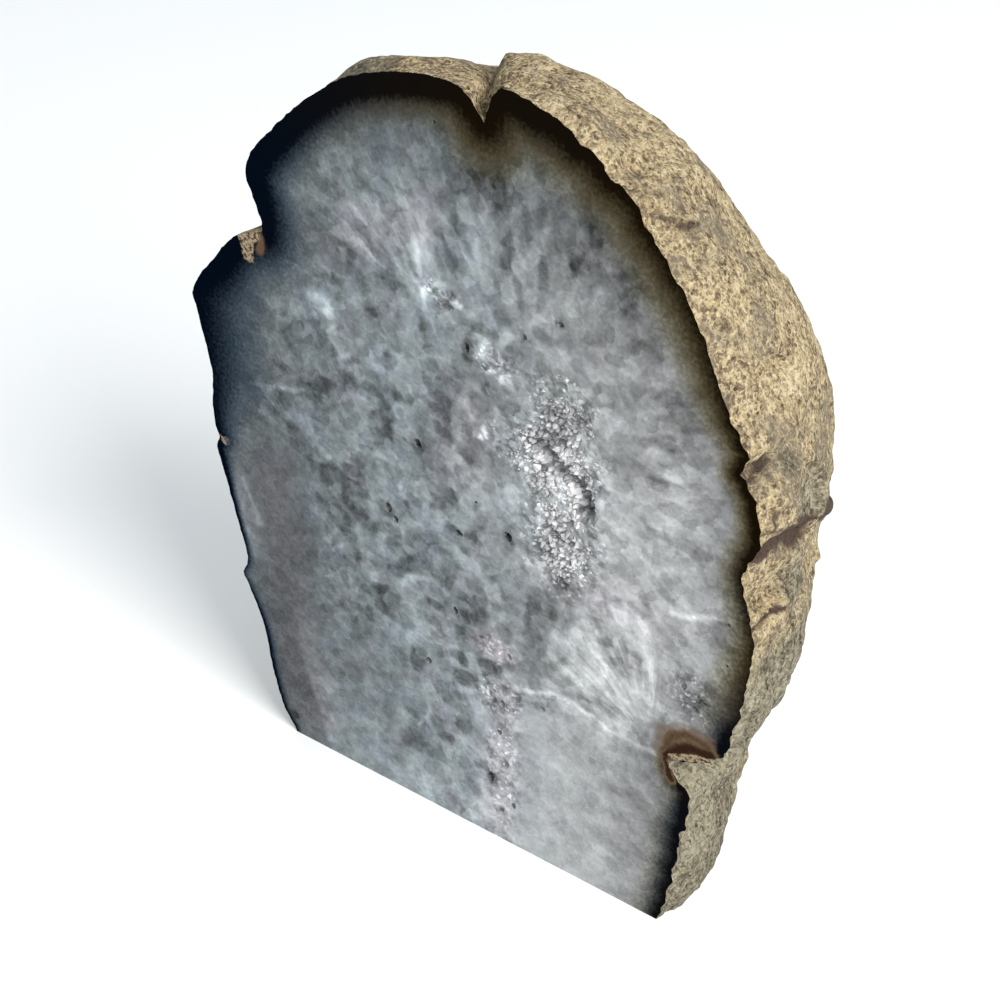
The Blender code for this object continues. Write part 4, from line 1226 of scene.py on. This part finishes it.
class Look:
    """A material built from nodes, with its lengths in millimetres."""

    def __init__(self, name, dimensions="3D"):
        self.dimensions = dimensions
        self.material = bpy.data.materials.new(name)
        self.material.use_nodes = True
        self.tree = self.material.node_tree
        self.shader = self.tree.nodes["Principled BSDF"]

    def fill(self, node, key, value):
        """Set or link one of a node's sockets."""
        if isinstance(value, bpy.types.NodeSocket):
            self.tree.links.new(value, node.inputs[key])
        else:
            node.inputs[key].default_value = value

    def give(self, socket, value):
        """Set or link one of the shader's sockets."""
        self.fill(self.shader, socket, value)

    def node(self, kind, inputs, **settings):
        """Add a node, set it up, and link or fill its inputs."""
        made = self.tree.nodes.new("ShaderNode" + kind)
        for key, value in settings.items():
            setattr(made, key, value)
        for key, value in inputs.items():
            self.fill(made, key, value)
        return made

    def math(self, operation, first, second):
        """Do one sum."""
        return self.node("Math", {0: first, 1: second}, operation=operation).outputs[0]

    def vectors(self, operation, *values):
        """Do one sum with vectors."""
        return self.node("VectorMath", dict(enumerate(values)), operation=operation).outputs[0]

    def add(self, *values):
        """Add up several values."""
        total = values[0]
        for value in values[1:]:
            total = self.math("ADD", total, value)
        return total

    def times(self, *values):
        """Multiply several values."""
        total = values[0]
        for value in values[1:]:
            total = self.math("MULTIPLY", total, value)
        return total

    def around(self, value, amount):
        """Centre a value between 0 and 1 on 0, and scale it."""
        return self.math("MULTIPLY", self.math("SUBTRACT", value, 0.5), amount)

    def step(self, value, low, high, start=0.0, end=1.0):
        """Change smoothly from start at low to end at high."""
        inputs = {"Value": value, "From Min": low, "From Max": high, "To Min": start, "To Max": end}
        return self.node("MapRange", inputs, interpolation_type="SMOOTHSTEP").outputs["Result"]

    def mix(self, first, second, share):
        """Blend two colours."""
        inputs = {0: share, 6: self.colour(first), 7: self.colour(second)}
        return self.node("Mix", inputs, data_type="RGBA").outputs[2]

    def colour(self, value):
        """Give a colour tuple its alpha."""
        return (*value, 1.0) if isinstance(value, tuple) else value

    def scaled(self, vector, amount):
        """Multiply a vector by one number."""
        return self.node("VectorMath", {0: vector, "Scale": amount}, operation="SCALE").outputs[0]

    def shaded(self, tint, tone, *gains):
        """Turn a tone from 0 to 1 into light of a tint."""
        power = self.math("POWER", self.math("MAXIMUM", tone, 0.02), TONE_POWER)
        return self.scaled(tint, self.times(power, FACE_GAIN, *gains))

    def vector(self, x, y, z):
        """Combine three values."""
        return self.node("CombineXYZ", {0: x, 1: y, 2: z}).outputs[0]

    def split(self, vector):
        """Give a vector's three values."""
        return self.node("SeparateXYZ", {0: vector}).outputs[:3]

    def place(self):
        """Give the place on the object in face millimetres."""
        spot = self.node("TexCoord", {}).outputs["Object"]
        return self.vectors("MULTIPLY_ADD", spot, (1 / MM,) * 3, (BOX_CENTRE_X, BOX_CENTRE_Y, 0.0))

    def attribute(self, name):
        """Give the three values stored on the mesh under a name."""
        return self.split(self.node("Attribute", {}, attribute_name=name).outputs["Vector"])

    def ramp(self, value, stops):
        """Turn a value into a colour by a row of colour stops."""
        made = self.node("ValToRGB", {"Fac": value})
        elements = made.color_ramp.elements
        while len(elements) < len(stops):
            elements.new(0.5)
        for element, (position, colour) in zip(elements, stops):
            element.position = position
            element.color = self.colour(colour)
        return made.outputs["Color"]

    def noise(self, vector, size, detail=2.0, roughness=0.5, output="Fac"):
        """Make soft noise of a size in millimetres."""
        inputs = {"Vector": vector, "Scale": 1.0 / size, "Detail": detail, "Roughness": roughness}
        return self.node("TexNoise", inputs, noise_dimensions=self.dimensions).outputs[output]

    def grains(self, vector, size):
        """Make cells of a size in millimetres: their random values and the distances inside."""
        inputs = {"Vector": vector, "Scale": 1.0 / size}
        made = self.node("TexVoronoi", inputs, voronoi_dimensions=self.dimensions)
        return self.split(made.outputs["Color"])[0], made.outputs["Distance"]

    def cells(self, vector, size):
        """Make cells of a size in millimetres, each with a random value."""
        return self.grains(vector, size)[0]

    def warp(self, vector, size, amount, detail=2.0):
        """Shift a vector by noise."""
        drift = self.noise(vector, size, detail, output="Color")
        centred = self.vectors("SUBTRACT", drift, (0.5, 0.5, 0.5))
        return self.vectors("ADD", vector, self.scaled(centred, amount))

    def bump(self, height, depth):
        """Tilt the surface by a height in millimetres."""
        inputs = {"Height": height, "Distance": depth * MM, "Strength": 1.0}
        self.give("Normal", self.node("Bump", inputs).outputs[0])


def polish_look():
    """Make the polished quartz with its dark band."""
    look = Look("polished_quartz", "2D")
    x, _, z = look.split(look.place())
    flat = look.vector(x, z, 0.0)
    fade, brown = look.attribute("band")[:2]
    tone, sugar, calm = look.attribute("tone")
    stain, tan, lilac = look.attribute("stain")
    turn, reach, fibre = look.attribute("fan")
    # The quartz: cells and clouds, blades in the fans, and sugary crystals
    bent = look.warp(flat, 0.9, 0.7)
    cloud = look.noise(flat, 3.5, 4.0, 0.66)
    grain = look.noise(flat, 0.45, 2.0, 0.6)
    facet = look.cells(bent, 1.3)
    plate = look.cells(look.warp(flat, 1.6, 1.4, 3.0), 2.6)
    crumb = look.cells(bent, 0.6)
    cells = look.add(look.around(cloud, 0.14), look.around(facet, 0.095), look.around(plate, 0.075))
    total = look.add(tone, look.around(grain, 0.11), look.around(crumb, 0.045),
                     look.times(look.step(calm, 0.0, 1.0, 1.0, 0.35), cells))
    fan = look.vector(turn, look.times(reach, 0.3), 0.0)
    streak = look.noise(fan, 0.9, 3.0, 0.6)
    blade = look.cells(look.warp(fan, 0.8, 0.35), 1.1)
    total = look.add(
        total, look.times(look.add(look.around(streak, 0.3), look.around(blade, 0.15)), fibre))
    fine_crumb = look.cells(flat, 0.33)
    sparkle = look.times(look.step(fine_crumb, 0.92, 0.97), 0.22)
    rough = look.add(look.around(crumb, 0.2), look.around(fine_crumb, 0.13), sparkle)
    total = look.add(total, look.times(rough, sugar))
    # Its tint: bluish at the left, neutral at the right, and lilac in places
    hue = look.noise(flat, 6.0, 3.0, 0.6)
    tint = look.mix((0.88, 1.0, 1.1), (0.9, 1.02, 1.05), look.step(hue, 0.36, 0.5))
    tint = look.mix(tint, (0.925, 0.985, 1.08), look.step(hue, 0.5, 0.66))
    tint = look.mix(tint, WHITE, look.step(x, -8.0, 26.0, 0.0, 0.85))
    tint = look.mix(tint, (1.02, 0.97, 1.035), lilac)
    quartz = look.shaded(tint, total)
    # The dark band: a warm edge, its fringe and its black part
    into = look.add(fade, look.around(grain, 0.5))
    warm = look.times(brown, look.step(into, 0.3, 1.5, 1.0, 0.0))
    quartz = look.vectors("MULTIPLY", quartz, look.mix(WHITE, (0.99, 0.92, 0.66), warm))
    fringe = look.mix((0.033, 0.049, 0.068), (0.052, 0.04, 0.021), brown)
    black = look.mix((0.001, 0.003, 0.007), (0.006, 0.0038, 0.0015), brown)
    colour = look.mix(quartz, fringe, look.step(into, 0.05, 1.15, 1.0, 0.0))
    colour = look.mix(colour, black, look.step(into, -0.3, 0.4, 1.0, 0.0))
    # Brown stain and tan matrix
    stained = look.add(stain, look.around(grain, 0.25))
    colour = look.mix(colour, (0.12, 0.078, 0.048), look.step(stained, 0.05, 0.62))
    colour = look.mix(colour, (0.026, 0.013, 0.007), look.step(stained, 0.48, 0.98))
    matrix = look.mix((0.07, 0.045, 0.03), (0.33, 0.26, 0.175), look.step(grain, 0.36, 0.58))
    colour = look.mix(colour, matrix, look.step(look.add(tan, look.around(grain, 0.35)), 0.3, 0.65))
    look.give("Base Color", colour)
    dull = look.add(cloud, look.times(sugar, 0.3))
    look.give("Roughness", look.step(dull, 0.3, 0.9, 0.12, 0.3))
    look.give("IOR", QUARTZ_IOR)
    look.give("Specular IOR Level", 0.0)
    return look.material


def rind_look():
    """Make the sandy natural rind."""
    look = Look("sandy_rind")
    place = look.place()
    along, dirt_and_shade, grey_and_shade = look.attribute("skin")
    patch = look.noise(place, 7.0, 3.0, 0.65)
    sand = look.noise(place, 0.5, 2.0, 0.7)
    grit, inside = look.grains(look.warp(place, 0.6, 0.5), 0.45)
    coarse = look.noise(place, 1.9, 3.0, 0.7)
    dust = look.noise(place, 0.26, 1.0)
    shift = look.add(look.around(sand, 0.4), look.around(grit, 0.3), look.around(patch, 0.5),
                     look.around(coarse, 0.5), look.around(dust, 0.22), 0.49)
    speck = look.times(look.step(inside, 0.55, 0.18), look.step(grit, 0.6, 0.75))
    tan = look.ramp(shift, [
        (0.26, (0.055, 0.04, 0.027)), (0.38, (0.15, 0.114, 0.071)), (0.47, (0.265, 0.207, 0.124)),
        (0.55, (0.365, 0.291, 0.168)), (0.7, (0.46, 0.392, 0.263))])
    stripe = look.noise(look.vector(look.times(along, 0.3), look.split(place)[1], 0.0), 0.7)
    # The olive-grey rind; towards the lower right it also stands for painted shade
    olive = look.ramp(look.add(look.times(shift, 0.7), look.times(stripe, 0.3)), [
        (0.32, (0.042, 0.037, 0.028)), (0.42, (0.112, 0.102, 0.073)), (0.5, (0.186, 0.171, 0.124)),
        (0.62, (0.285, 0.268, 0.203))])
    colour = look.mix(tan, (0.235, 0.205, 0.15), look.step(patch, 0.48, 0.34, 0.0, 0.45))
    colour = look.mix(colour, olive, look.times(grey_and_shade, 0.92))
    colour = look.mix(colour, (0.105, 0.082, 0.055), look.times(speck, 0.82))
    # Dark brown in the recesses: dirt and painted shade
    dirt_and_shade_share = look.step(look.add(dirt_and_shade, look.around(coarse, 1.3)), 0.2, 0.8, 0.0, 0.93)
    look.give("Base Color", look.mix(colour, (0.05, 0.033, 0.027), dirt_and_shade_share))
    look.give("Roughness", 0.9)
    look.give("Specular IOR Level", 0.1)
    look.bump(look.add(look.times(inside, -0.35), look.times(coarse, 1.2)), 0.7)
    return look.material


def sawn_look():
    """Make the dull sawn base."""
    look = Look("sawn_quartz")
    place = look.place()
    x, y = look.split(place)[:2]
    saw = look.noise(look.vector(x, look.times(y, 0.05), 0.0), 0.8, 3.0)
    cloud = look.noise(place, 5.0, 4.0, 0.6)
    value = look.step(look.add(cloud, look.around(saw, 0.4)), 0.25, 0.75, 0.16, 0.34)
    look.give("Base Color", look.mix((0.0, 0.0, 0.0), (0.95, 0.98, 1.0), value))
    look.give("Roughness", 0.55)
    return look.material


def pit_look():
    """Make the broken walls of the pits: pale at the edge, and darker inside with depth as painted shade.
    """
    look = Look("broken_quartz")
    place = look.place()
    # Darker deeper in the pit: painted shade
    deep = look.step(look.split(place)[1], 0.0, 0.9, -0.01, -0.12)
    tone = look.add(look.attribute("tone")[0], look.around(look.cells(place, 0.3), 0.2), deep)
    look.give("Base Color", look.shaded((0.96, 1.0, 1.02), tone))
    look.give("Roughness", 0.25)
    return look.material


def crystal_look(name, clear):
    """Make the druse's quartz: milky, or clear and see-through."""
    look = Look(name)
    # The stored tone holds painted shade on the deeper crystals
    tone = look.add(look.attribute("milk_and_depth_shade")[0], look.around(look.noise(look.place(), 0.5), 0.2))
    if clear:
        look.give("Base Color", look.shaded(WHITE, tone, CLEAR_GAIN))
        look.give("Transmission Weight", 0.8)
    else:
        look.give("Base Color", look.shaded((0.99, 0.98, 1.0), tone))
    look.give("Roughness", 0.08 if clear else 0.28)
    look.give("IOR", QUARTZ_IOR)
    return look.material


mesh, rim, hollow = build_stone()
paint_face(mesh, rim)
to_part(mesh)
stone = add_object("stone", mesh)
polish = polish_look()
for material in (polish, rind_look(), sawn_look(), pit_look()):
    mesh.materials.append(material)
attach(stone, "root")
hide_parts("agate_stone")

mesh = build_druse(hollow)
paint_face(mesh, rim)
to_part(mesh)
druse = add_object("druse", mesh)
for material in (polish, crystal_look("milky_crystal", False), crystal_look("clear_crystal", True)):
    mesh.materials.append(material)
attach(druse, "root")
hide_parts("druse_crystals")

mesh = quick_mesh("floor", [(-2, -2, 0), (2, -2, 0), (2, 2, 0), (-2, 2, 0)], [(0, 1, 2, 3)])
floor = add_object("floor", mesh)
pale = Look("floor")
pale.give("Base Color", (0.88, 0.9, 0.91, 1.0))
pale.give("Roughness", 0.6)
mesh.materials.append(pale.material)

camera_data = bpy.data.cameras.new("camera")
camera_data.sensor_width = 36.0
camera_data.lens = 68.4
camera_data.clip_start = 0.01
camera = add_object("camera", camera_data)
camera.location = (0.10692, -0.15615, 0.17185)
camera.rotation_euler = (math.radians(55.0), 0.0, math.radians(36.07))
bpy.context.scene.camera = camera

light_data = bpy.data.lights.new("key", "AREA")
light_data.energy = 9.0
light_data.size = 0.42
light_data.color = (1.0, 0.97, 0.93)
light = add_object("key", light_data)
light.location = Vector((0.62, -0.20, 0.55))
light.rotation_euler = light.location.to_track_quat("Z", "Y").to_euler()
world = bpy.data.worlds.new("world")
world.use_nodes = True
world.node_tree.nodes["Background"].inputs["Color"].default_value = (0.93, 0.97, 1.0, 1.0)
world.node_tree.nodes["Background"].inputs["Strength"].default_value = 0.75
bpy.context.scene.world = world
bpy.context.scene.view_settings.view_transform = "Standard"
